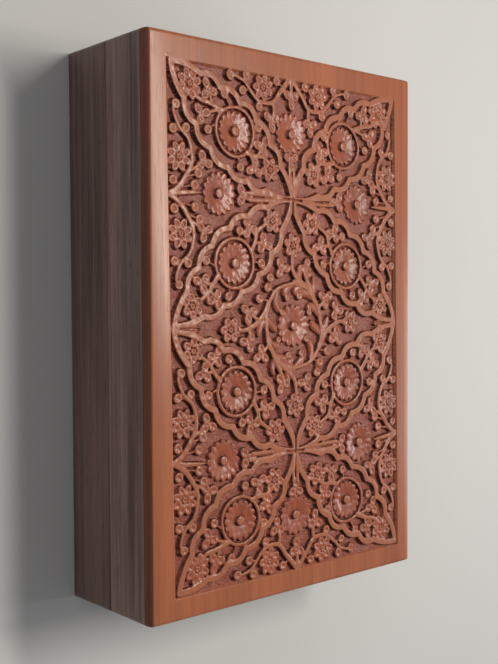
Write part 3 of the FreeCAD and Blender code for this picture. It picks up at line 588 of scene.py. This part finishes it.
def bevel_steps(reach):
    """Distances from a bevelled edge inward, close together on the bevel and at its arris."""
    on_bevel = reach * np.array([0.0, 0.03, 0.12, 0.3, 0.6, 0.93, 1.07])
    on_roll = reach + np.array([0.6, 1.5, 3.0, 5.5]) * MM
    return np.append(on_bevel, on_roll)


def grid_lines(half, field, steps, cell):
    """Grid lines across the board: the edge, two lines that hold the margin flat, the even field."""
    hold = np.array([1.2 * cell, 0.12 * cell])
    even = np.linspace(-field, field, int(2 * field / cell))
    return np.concatenate([steps - half, -field - hold, even, field + hold[::-1], half - steps[::-1]])


def bevel_drop(distance, settings):
    """How far a long edge has fallen: a full bevel up to its arris, then a slight roll."""
    fullness, roll_length = 0.55, 2.5 * MM
    rise = np.clip(distance / settings.bevel_reach, 0, 1) ** fullness
    beyond = np.maximum(distance - settings.bevel_reach, 0)
    return settings.bevel_fall * (1 - rise) + settings.roll * np.exp(-beyond / roll_length)


def round_drop(distance, radius):
    """How far a rounded edge has fallen at a distance from the edge."""
    missing = np.clip(radius - distance, 0, radius)
    return radius - np.sqrt(np.maximum(radius ** 2 - missing ** 2, 0))


def skew_share(y, half_y, settings):
    """How much of the field's lean a place takes: none on the bevel, all of it in the field."""
    straight = 1.1 * settings.bevel_reach
    return np.clip((half_y - straight - np.abs(y)) / (settings.side_margin - straight), 0, 1)


def close_skin(x, y, z, floor):
    """Vertices, top faces and other faces of a grid that upright sides and a flat underside close."""
    rows, columns = x.shape
    top = np.stack([x, y, z], axis=-1).reshape(-1, 3)
    index = np.arange(rows * columns).reshape(rows, columns)
    corners = [index[:-1, :-1], index[1:, :-1], index[1:, 1:], index[:-1, 1:]]
    quads = np.stack(corners, axis=-1).reshape(-1, 4)
    rim = np.concatenate([index[:, 0], index[-1, 1:], index[-2::-1, -1], index[0, -2:0:-1]])
    skirt = top[rim].copy()
    skirt[:, 2] = floor
    lower = len(top) + np.arange(len(rim))
    sides = np.stack([rim, lower, np.roll(lower, -1), np.roll(rim, -1)], axis=-1)
    underside = lower[::-1].tolist()
    vertices = np.concatenate([top, skirt]).tolist()
    return vertices, quads.tolist(), sides[:, ::-1].tolist() + [underside]


# Places of the woods in the lid board's list of materials
CARVED, SIDES, ENDS, MARGIN, BEVEL = range(5)


def build_board(settings, woods):
    """The lid board as one closed skin over a grid that is finest in the carved field."""
    low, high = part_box("carved_top_panel")
    half_x, half_y = high[0], high[1]
    field_x, field_y = half_x - settings.end_margin, half_y - settings.side_margin
    lines_x = grid_lines(half_x, field_x, rounded_steps(settings.end_round), settings.cell)
    lines_y = grid_lines(half_y, field_y, bevel_steps(settings.bevel_reach), settings.cell)
    x, y = np.meshgrid(lines_x, lines_y, indexing="ij")
    z = high[2] - bevel_drop(half_y - np.abs(y), settings)
    z = z - round_drop(half_x - np.abs(x), settings.end_round)
    inside = np.ix_(np.abs(lines_x) <= field_x + TINY, np.abs(lines_y) <= field_y + TINY)
    levels = carve(x[inside] / MM, y[inside] / MM, settings, field_x / MM, field_y / MM)
    z[inside] = high[2] + np.minimum(levels, 0.0) * MM
    y = y + settings.field_skew * x * skew_share(y, half_y, settings)
    x, y = round_corners(x, y, half_x, half_y, settings.end_round)
    vertices, top_faces, other_faces = close_skin(x, y, z, low[2])
    board = new_object("carved_lid_board", vertices, top_faces + other_faces, woods[CARVED])
    for wood in woods[CARVED + 1:]:
        board.data.materials.append(wood)
    share_woods(board, settings, lines_x, lines_y, (field_x, field_y), half_y)
    return board


def share_woods(board, settings, lines_x, lines_y, field, half_y):
    """Give each face of the lid board its wood, and make the upright sides and underside flat."""
    end_facing = 0.7
    middle_x = (lines_x[:-1] + lines_x[1:]) / 2
    middle_y = np.abs(lines_y[:-1] + lines_y[1:]) / 2
    plain_x = (middle_x < settings.left_inset - field[0]) | (middle_x > field[0])
    plain = plain_x[:, None] | (middle_y > field[1])[None, :]
    top_woods = np.where(plain, MARGIN, CARVED)
    # The bevel faces take the margin's wood darkened as painted shade
    top_woods[:, middle_y > half_y - settings.bevel_reach] = BEVEL
    polygons = board.data.polygons
    all_woods = np.full(len(polygons), SIDES, dtype=np.int32)
    all_woods[:top_woods.size] = top_woods.ravel()
    polygons.foreach_set("material_index", all_woods)
    for polygon in polygons[top_woods.size:]:
        polygon.use_smooth = False
        if abs(polygon.normal.x) > end_facing:
            polygon.material_index = ENDS


def round_corners(x, y, half_x, half_y, radius):
    """Draw the grid in at the four corners so that they are rounded in plan."""
    near_x = np.clip(np.abs(x) - (half_x - radius), 0, radius) / radius
    near_y = np.clip(np.abs(y) - (half_y - radius), 0, radius) / radius
    both = (near_x > 0) & (near_y > 0)
    round_x = np.where(both, near_x * np.sqrt(1 - near_y ** 2 / 2), near_x)
    round_y = np.where(both, near_y * np.sqrt(1 - near_x ** 2 / 2), near_y)
    new_x = np.where(both, np.sign(x) * (half_x - radius + radius * round_x), x)
    new_y = np.where(both, np.sign(y) * (half_y - radius + radius * round_y), y)
    return new_x, new_y


def screw_head(name, place, facing, radius, material, turn):
    """A flush slotted head: two half discs with the slot left open between them, on a thin disc."""
    proud, floor_level = 0.09 * MM, 0.01 * MM
    slot_half, taper = 0.16 * radius, 0.94
    arc_points, floor_points = 15, 24
    start = math.asin(slot_half / radius)
    sweep = math.pi - 2 * start
    builder = bmesh.new()
    for side in (-1, 1):
        rise = Vector((0, side * slot_half * (1 - taper), proud))
        lower = []
        upper = []
        for i in range(arc_points):
            angle = start + sweep * i / (arc_points - 1)
            point = Vector((radius * math.cos(angle), side * radius * math.sin(angle), 0))
            lower.append(builder.verts.new(point))
            upper.append(builder.verts.new(point * taper + rise))
        builder.faces.new(upper)
        for i in range(arc_points):
            builder.faces.new((lower[i - 1], lower[i], upper[i], upper[i - 1]))
    floor = []
    for i in range(floor_points):
        angle = math.tau * i / floor_points
        point = (radius * math.cos(angle), radius * math.sin(angle), floor_level)
        floor.append(builder.verts.new(point))
    builder.faces.new(floor)
    bmesh.ops.recalc_face_normals(builder, faces=builder.faces)
    rotation = Vector(facing).to_track_quat("Z", "Y").to_matrix().to_4x4()
    builder.transform(Matrix.Translation(place) @ rotation @ Matrix.Rotation(turn, 4, "Z"))
    mesh = bpy.data.meshes.new(name)
    builder.to_mesh(mesh)
    builder.free()
    mesh.materials.append(material)
    piece = bpy.data.objects.new(name, mesh)
    bpy.context.collection.objects.link(piece)
    return piece


# Shader helpers
def new_group(name, outputs):
    """An empty node group that takes a vector and puts out the named values."""
    group = bpy.data.node_groups.new(name, "ShaderNodeTree")
    group.interface.new_socket("Vector", in_out="INPUT", socket_type="NodeSocketVector")
    for label in outputs:
        group.interface.new_socket(label, in_out="OUTPUT", socket_type="NodeSocketFloat")
    source = group.nodes.new("NodeGroupInput")
    return group, source.outputs["Vector"], group.nodes.new("NodeGroupOutput")


def add_node(tree, kind, **settings):
    node = tree.nodes.new(kind)
    for key, value in settings.items():
        setattr(node, key, value)
    return node


def noise(tree, vector, scale, detail, roughness=0.55):
    node = add_node(tree, "ShaderNodeTexNoise")
    node.inputs["Scale"].default_value = scale
    node.inputs["Detail"].default_value = detail
    node.inputs["Roughness"].default_value = roughness
    tree.links.new(vector, node.inputs["Vector"])
    return node.outputs["Fac"]


def stretched_noise(tree, vector, waves, detail, roughness=0.55):
    """Noise with its own number of waves to the metre along each axis."""
    node = add_node(tree, "ShaderNodeMapping")
    node.inputs["Scale"].default_value = waves
    tree.links.new(vector, node.inputs["Vector"])
    return noise(tree, node.outputs["Vector"], 1.0, detail, roughness)


def spread(tree, value, low, high, to_low=0.0, to_high=1.0):
    """The value spread from one range to another and held at its ends."""
    node = add_node(tree, "ShaderNodeMapRange")
    numbers = {"From Min": low, "From Max": high, "To Min": to_low, "To Max": to_high}
    for label, number in numbers.items():
        node.inputs[label].default_value = number
    tree.links.new(value, node.inputs["Value"])
    return node.outputs["Result"]


def combine(tree, operation, first, second):
    """Two values, the second of which may be a number, put together by a math node."""
    node = add_node(tree, "ShaderNodeMath", operation=operation)
    tree.links.new(first, node.inputs[0])
    if isinstance(second, float):
        node.inputs[1].default_value = second
    else:
        tree.links.new(second, node.inputs[1])
    return node.outputs["Value"]


def add(tree, first, second):
    return combine(tree, "ADD", first, second)


def times(tree, first, second):
    return combine(tree, "MULTIPLY", first, second)


def mix_colour(tree, share, first, second):
    """A mix of two colours, each a plain one or one that comes from another node."""
    node = add_node(tree, "ShaderNodeMix", data_type="RGBA")
    for label, value in (("Factor", share), ("A", first), ("B", second)):
        socket = next(item for item in node.inputs if item.name == label and item.enabled)
        if isinstance(value, tuple):
            socket.default_value = value
        else:
            tree.links.new(value, socket)
    return next(item for item in node.outputs if item.enabled)


def colour(value):
    return (value[0], value[1], value[2], 1.0)


def shaded(value, share):
    return [channel * share for channel in value]


def wood_figure_group():
    """Straight-grained figure, pores and height for wood whose grain runs along the vector's X."""
    group, vector, result = new_group("wood_figure", ("Figure", "Pores", "Height"))
    broad = stretched_noise(group, vector, (4.0, 60.0, 60.0), 3.0)
    streaks = stretched_noise(group, vector, (9.0, 420.0, 420.0), 6.0, 0.65)
    fine = stretched_noise(group, vector, (40.0, 1900.0, 1900.0), 3.0)
    specks = stretched_noise(group, vector, (110.0, 2600.0, 2600.0), 2.0)
    figure = add(group, times(group, broad, 0.55), times(group, streaks, 0.6))
    figure = add(group, figure, times(group, fine, 0.12))
    pores = spread(group, specks, 0.60, 0.70)
    height = combine(group, "SUBTRACT", times(group, streaks, 0.5), times(group, pores, 0.5))
    group.links.new(spread(group, figure, 0.40, 0.86), result.inputs["Figure"])
    group.links.new(pores, result.inputs["Pores"])
    group.links.new(height, result.inputs["Height"])
    return group


def metal_wear_group():
    """Cloudy tarnish and fine scratches on metal."""
    group, vector, result = new_group("metal_wear", ("Tarnish", "Roughness", "Height"))
    clouds = noise(group, vector, 240.0, 5.0, 0.6)
    scratches = stretched_noise(group, vector, (300.0, 6000.0, 2500.0), 3.0)
    group.links.new(spread(group, clouds, 0.42, 0.68), result.inputs["Tarnish"])
    group.links.new(spread(group, clouds, 0.3, 0.7, 0.26, 0.46), result.inputs["Roughness"])
    group.links.new(scratches, result.inputs["Height"])
    return group


def placed_group(tree, name, make, vector):
    """A shared node group, made at its first use, placed in a material."""
    shared = bpy.data.node_groups.get(name) or make()
    node = add_node(tree, "ShaderNodeGroup", node_tree=shared)
    tree.links.new(vector, node.inputs["Vector"])
    return node.outputs


def new_material(name):
    material = bpy.data.materials.new(name)
    material.use_nodes = True
    tree = material.node_tree
    return material, tree, tree.nodes["Principled BSDF"]


def object_vector(tree, turn=0.0):
    """Places on the object itself, turned about the upright axis."""
    places = add_node(tree, "ShaderNodeTexCoord").outputs["Object"]
    mapping = add_node(tree, "ShaderNodeMapping")
    mapping.inputs["Rotation"].default_value = (0.0, 0.0, turn)
    tree.links.new(places, mapping.inputs["Vector"])
    return mapping.outputs["Vector"]


def add_bump(tree, shader, height, strength, distance):
    bump = add_node(tree, "ShaderNodeBump")
    bump.inputs["Strength"].default_value = strength
    bump.inputs["Distance"].default_value = distance
    tree.links.new(height, bump.inputs["Height"])
    tree.links.new(bump.outputs["Normal"], shader.inputs["Normal"])


def carved_finish(tree, vector, dark, carved, tint, rough, height):
    """Worn tops that also carry a painted highlight, a rough pecked ground and steep sides darkened by
    painted shade; carved holds what the face is like.
    """
    top, depth, wear_and_highlight, ground = carved
    sunk_start, sunk_end = top - 0.68 * depth, top - 0.90 * depth
    wear_and_highlight_start, wear_and_highlight_end = top - 0.24 * depth, top - 0.10 * depth
    steep_start, steep_end, painted_wall_shade_share = 0.84, 0.50, 0.96
    wear_and_highlight_share, ground_share, peck_share = 0.62, 0.6, 0.5
    peck_shade, painted_wall_shade_tone = 0.8, 0.12
    stipple_scale, stipple_height, extra_roughness = 1200.0, 3.0, 0.2
    place = add_node(tree, "ShaderNodeSeparateXYZ")
    tree.links.new(vector, place.inputs["Vector"])
    facing = add_node(tree, "ShaderNodeSeparateXYZ")
    normal = add_node(tree, "ShaderNodeTexCoord").outputs["Normal"]
    tree.links.new(normal, facing.inputs["Vector"])
    sunk = spread(tree, place.outputs["Z"], sunk_start, sunk_end)
    # The raised tops turn paler: handled wear together with a painted highlight
    wear_and_highlight_mask = spread(tree, place.outputs["Z"], wear_and_highlight_start, wear_and_highlight_end)
    # Painted shade: the steeper a wall, the darker it is made, as if in the shade of the relief
    painted_wall_shade_mask = spread(tree, facing.outputs["Z"], steep_start, steep_end, 0.0, painted_wall_shade_share)
    stipple = noise(tree, vector, stipple_scale, 2.0)
    pecks = times(tree, sunk, spread(tree, stipple, 0.40, 0.60, peck_share, 0.0))
    tint = mix_colour(tree, times(tree, wear_and_highlight_mask, wear_and_highlight_share), tint, colour(wear_and_highlight))
    tint = mix_colour(tree, times(tree, sunk, ground_share), tint, colour(ground))
    tint = mix_colour(tree, pecks, tint, colour(shaded(dark, peck_shade)))
    tint = mix_colour(tree, painted_wall_shade_mask, tint, colour(shaded(dark, painted_wall_shade_tone)))
    rough = add(tree, rough, times(tree, sunk, extra_roughness))
    height = add(tree, height, times(tree, times(tree, stipple, sunk), stipple_height))
    return tint, rough, height


def wood_material(name, dark, light, turn=0.0, roughness=(0.34, 0.52), pores=0.55, bump=0.35,
                  carved=None):
    """Polished wood with its grain turned about the upright axis, and a carved finish if asked."""
    pore_shade, bump_height = 0.35, 0.15 * MM
    material, tree, shader = new_material(name)
    vector = object_vector(tree, turn)
    wood = placed_group(tree, "wood_figure", wood_figure_group, vector)
    tint = mix_colour(tree, wood["Figure"], colour(dark), colour(light))
    pore_colour = colour(shaded(dark, pore_shade))
    tint = mix_colour(tree, times(tree, wood["Pores"], pores), tint, pore_colour)
    rough = spread(tree, wood["Figure"], 0.0, 1.0, roughness[1], roughness[0])
    height = wood["Height"]
    if carved:
        tint, rough, height = carved_finish(tree, vector, dark, carved, tint, rough, height)
    tree.links.new(tint, shader.inputs["Base Color"])
    tree.links.new(rough, shader.inputs["Roughness"])
    shader.inputs["Specular IOR Level"].default_value = 0.27
    shader.inputs["Coat Weight"].default_value = 0.07
    shader.inputs["Coat Roughness"].default_value = 0.22
    add_bump(tree, shader, height, bump, bump_height)
    return material


def outer_wood(kind, finish):
    """The wood of the lid's or the base's sides or ends, made once."""
    name = f"rosewood_{kind}"
    if name in bpy.data.materials:
        return bpy.data.materials[name]
    shade = finish.base_shade if kind.startswith("base") else 1.0
    dark, light = shaded(finish.outer_dark, shade), shaded(finish.outer_light, shade)
    turn = math.pi / 2 if kind.endswith("ends") else 0.0
    return wood_material(name, dark, light, turn)


def metal_material(name, bright, dull):
    """Bare metal with tarnish and fine scratches."""
    scratch_strength, scratch_height = 0.12, 0.05 * MM
    material, tree, shader = new_material(name)
    wear = placed_group(tree, "metal_wear", metal_wear_group, object_vector(tree))
    tint = mix_colour(tree, wear["Tarnish"], colour(bright), colour(dull))
    tree.links.new(tint, shader.inputs["Base Color"])
    tree.links.new(wear["Roughness"], shader.inputs["Roughness"])
    shader.inputs["Metallic"].default_value = 1.0
    add_bump(tree, shader, wear["Height"], scratch_strength, scratch_height)
    return material


def paint(node, material):
    """Give a carried-over CAD node its finished material."""
    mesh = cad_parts[node].data
    mesh.materials.clear()
    mesh.materials.append(material)


# Operators
class PUZZLE_OT_carved_board(bpy.types.Operator):
    """Carve the lid board and put it in place of the plain one"""
    bl_idname = "puzzle.carved_board"
    bl_label = "Carved board"

    def execute(self, context):
        carving, finish = context.scene.puzzle_carving, context.scene.puzzle_finish
        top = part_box("carved_top_panel")[1][2]
        carved_wood = wood_material(
            "carved_rosewood", finish.carved_dark, finish.carved_light, roughness=(0.21, 0.34),
            carved=(top, carving.depth, finish.wear_and_highlight, finish.ground))
        margin_wood = wood_material(
            "rosewood_margin", finish.margin_dark, finish.margin_light, roughness=(0.24, 0.36),
            pores=0.25, bump=0.14)
        # Painted shade: the bevel's wood is the margin's, darkened as if in shade
        painted_shade_bevel_wood = wood_material(
            "rosewood_bevel_painted_shade", shaded(finish.margin_dark, finish.bevel_painted_shade),
            shaded(finish.margin_light, finish.bevel_painted_shade))
        sides, ends = outer_wood("lid_sides", finish), outer_wood("lid_ends", finish)
        board = build_board(carving, (carved_wood, sides, ends, margin_wood, painted_shade_bevel_wood))
        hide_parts("carved_top_panel")
        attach(board, "lid")
        return {"FINISHED"}


class PUZZLE_OT_boards(bpy.types.Operator):
    """Finish the walls, the floor and the sliding boards"""
    bl_idname = "puzzle.boards"
    bl_label = "Boards"

    def execute(self, context):
        finish = context.scene.puzzle_finish
        inner_boards = wood_material(
            "plain_hardwood", finish.inner_dark, finish.inner_light, roughness=(0.5, 0.66))
        for kind, nodes in (("lid_sides", ("lid_front_wall", "lid_back_wall")),
                            ("lid_ends", ("lid_left_wall", "lid_right_wall")),
                            ("base_sides", ("front_slider", "base_front_wall", "base_back_wall")),
                            ("base_ends", ("base_left_wall", "base_right_wall"))):
            for node in nodes:
                paint(node, outer_wood(kind, finish))
        for node in ("base_floor", "key_strip"):
            paint(node, inner_boards)
        return {"FINISHED"}


class PUZZLE_OT_fittings(bpy.types.Operator):
    """Finish the hinges, the lock, the key and the stop pins"""
    bl_idname = "puzzle.fittings"
    bl_label = "Fittings"

    def execute(self, context):
        finish = context.scene.puzzle_finish
        brass = metal_material("aged_brass", finish.brass, finish.tarnish)
        steel = metal_material("bare_steel", finish.steel, shaded(finish.steel, 0.45))
        key_brass = metal_material("key_brass", finish.brass, shaded(finish.brass, 0.6))
        paint("key", key_brass)
        for node in ("hinge_left_pin", "hinge_right_pin", "lock_spring", "front_stop_pin",
                     "key_strip_stop_pin"):
            paint(node, steel)
        for node in ("hinge_left_base_leaf", "hinge_right_base_leaf", "hinge_left_lid_leaf",
                     "hinge_right_lid_leaf", "lock_plate", "lock_case", "lock_key_pin",
                     "bolt_guide_stud", "keyhole_plate", "link_plate", "lock_bolt"):
            paint(node, brass)
        return {"FINISHED"}


class PUZZLE_OT_screws(bpy.types.Operator):
    """Add the screw heads of the hinges, the lock and the link plate and the keyhole plate's nails"""
    bl_idname = "puzzle.screws"
    bl_label = "Screws"

    def execute(self, context):
        finish = context.scene.puzzle_finish
        material = metal_material("screw_brass", finish.brass, finish.tarnish)
        for name, body, place, facing, radius, turn in screw_places():
            head = screw_head(name, place, facing, radius, material, turn)
            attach(head, body)
        return {"FINISHED"}


def screw_places():
    """Name, body, place, facing, radius and slot angle of every screw head."""
    hinge_radius, lock_radius, nail_radius = 1.95 * MM, 0.9 * MM, 0.6 * MM
    leaf_middle, hinge_sink, seat = 4.0 * MM, 0.06 * MM, 0.03 * MM
    plate_inset, nail_inset = 2 * MM, 1 * MM
    base_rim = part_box("base_back_wall")[1][2]
    lid_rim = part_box("lid_back_wall")[0][2]
    heads = []
    for side in ("left", "right"):
        for half, rim, up in (("base", base_rim, 1), ("lid", lid_rim, -1)):
            low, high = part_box(f"hinge_{side}_{half}_leaf")
            third = (high[0] - low[0]) / 3
            middle = (low[0] + high[0]) / 2
            for i, x in enumerate((middle - third, middle + third)):
                name = f"hinge_screw_{side}_{half}_{i}"
                place = (x, low[1] + leaf_middle, rim - hinge_sink * up)
                heads.append((name, half, place, (0, 0, up), hinge_radius, 0.5 + 1.3 * i))
    low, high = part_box("lock_plate")
    for i, x in enumerate((low[0] + plate_inset, high[0] - plate_inset)):
        place = (x, high[1] - seat, (low[2] + high[2]) / 2)
        heads.append((f"lock_screw_{i}", "base", place, (0, 1, 0), lock_radius, 0.4 + i))
    low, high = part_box("link_plate")
    for i, x in enumerate((low[0] + plate_inset, high[0] - plate_inset)):
        place = (x, (low[1] + high[1]) / 2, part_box("lid_front_wall")[0][2] + seat)
        heads.append((f"link_screw_{i}", "lid", place, (0, 0, -1), lock_radius, 0.9 - i))
    low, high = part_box("keyhole_plate")
    for i, z in enumerate((low[2] + nail_inset, high[2] - nail_inset)):
        place = ((low[0] + high[0]) / 2, low[1] + seat, z)
        heads.append((f"keyhole_nail_{i}", "base", place, (0, -1, 0), nail_radius, 0.0))
    return heads


class PUZZLE_OT_stage(bpy.types.Operator):
    """Set up the camera, the lights and the pale floor"""
    bl_idname = "puzzle.stage"
    bl_label = "Stage"

    def execute(self, context):
        stage = context.scene.puzzle_stage
        add_camera(context, stage)
        add_light("key", stage.key_power, place=(-0.20, 0.38, 0.83), target=(0, 0, 0.03),
                  size=(0.5, 0.08), tint=(1.0, 0.95, 0.87))
        add_light("glint", stage.glint_power, place=(0.10, 0.80, 0.40), target=(0, 0, 0.04),
                  size=(0.3, 0.1), tint=(0.88, 0.94, 1.0))
        add_light("fill", stage.fill_power, place=(-0.2, -0.75, 0.55), target=(0, 0, 0.02),
                  size=(0.8, 0.8), tint=(0.92, 0.96, 1.0))
        add_floor()
        world = context.scene.world or bpy.data.worlds.new("studio")
        context.scene.world = world
        world.use_nodes = True
        backdrop = world.node_tree.nodes["Background"]
        backdrop.inputs["Color"].default_value = (0.95, 0.97, 1.0, 1.0)
        backdrop.inputs["Strength"].default_value = stage.sky
        context.scene.view_settings.view_transform = "Standard"
        return {"FINISHED"}


def add_camera(context, stage):
    """The photograph's camera: it looks down on the box from the front, with the length upright."""
    right = Vector((0.004902, 0.756728, 0.653711))
    down = Vector((0.999361, -0.026845, 0.023582))
    forward = Vector((0.035394, 0.653178, -0.756377))
    data = bpy.data.cameras.new("camera")
    data.lens = stage.lens
    data.sensor_width = 36.0
    data.clip_start = 0.01
    camera = bpy.data.objects.new("camera", data)
    context.collection.objects.link(camera)
    axes = Matrix((right, -down, -forward)).transposed().to_4x4()
    camera.matrix_world = Matrix.Translation(stage.camera_place) @ axes
    context.scene.camera = camera


def add_light(name, power, place, target, size, tint):
    """A rectangular area light that faces its target."""
    data = bpy.data.lights.new(name, "AREA")
    data.energy = power
    data.shape = "RECTANGLE"
    data.size, data.size_y = size
    data.color = tint
    light = bpy.data.objects.new(name, data)
    bpy.context.collection.objects.link(light)
    direction = Vector(target) - Vector(place)
    turn = direction.to_track_quat("-Z", "Y").to_matrix().to_4x4()
    light.matrix_world = Matrix.Translation(place) @ turn


def add_floor():
    """A wide pale floor with faint clouds."""
    reach = 3.0
    dull, pale = (0.60, 0.59, 0.57, 1.0), (0.68, 0.67, 0.65, 1.0)
    material, tree, shader = new_material("pale_floor")
    cloud = noise(tree, object_vector(tree), 6.0, 4.0)
    tree.links.new(mix_colour(tree, cloud, dull, pale), shader.inputs["Base Color"])
    shader.inputs["Roughness"].default_value = 0.75
    corners = [(-reach, -reach, 0.0), (reach, -reach, 0.0), (reach, reach, 0.0), (-reach, reach, 0.0)]
    floor = new_object("floor", corners, [(0, 1, 2, 3)], material, smooth=False)


class PUZZLE_PT_sidebar(bpy.types.Panel):
    """Lists the settings and the operators"""
    bl_label = "Puzzle Box"
    bl_idname = "PUZZLE_PT_sidebar"
    bl_space_type = "VIEW_3D"
    bl_region_type = "UI"
    bl_category = "Puzzle Box"

    def draw(self, context):
        scene = context.scene
        finishing = ("puzzle.boards", "puzzle.fittings", "puzzle.screws")
        for label, settings, operators in (
                ("Carving", scene.puzzle_carving, ("puzzle.carved_board",)),
                ("Finish", scene.puzzle_finish, finishing),
                ("Stage", scene.puzzle_stage, ("puzzle.stage",))):
            box = self.layout.box()
            box.label(text=label)
            for key in settings.bl_rna.properties.keys():
                if key not in ("rna_type", "name"):
                    box.prop(settings, key)
            for operator in operators:
                box.operator(operator)


CLASSES = (CarvingSettings, FinishSettings, StageSettings, PUZZLE_OT_carved_board, PUZZLE_OT_boards,
           PUZZLE_OT_fittings, PUZZLE_OT_screws, PUZZLE_OT_stage, PUZZLE_PT_sidebar)


def register():
    for item in CLASSES:
        bpy.utils.register_class(item)
    bpy.types.Scene.puzzle_carving = PointerProperty(type=CarvingSettings)
    bpy.types.Scene.puzzle_finish = PointerProperty(type=FinishSettings)
    bpy.types.Scene.puzzle_stage = PointerProperty(type=StageSettings)


def unregister():
    del bpy.types.Scene.puzzle_stage
    del bpy.types.Scene.puzzle_finish
    del bpy.types.Scene.puzzle_carving
    for item in reversed(CLASSES):
        bpy.utils.unregister_class(item)


def plain(box):
    return [[float(number) for number in corner] for corner in box]


def main():
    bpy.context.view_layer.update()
    register()
    bpy.ops.puzzle.carved_board()
    bpy.ops.puzzle.boards()
    bpy.ops.puzzle.fittings()
    bpy.ops.puzzle.screws()
    bpy.ops.puzzle.stage()


if __name__ == "__main__":
    main()
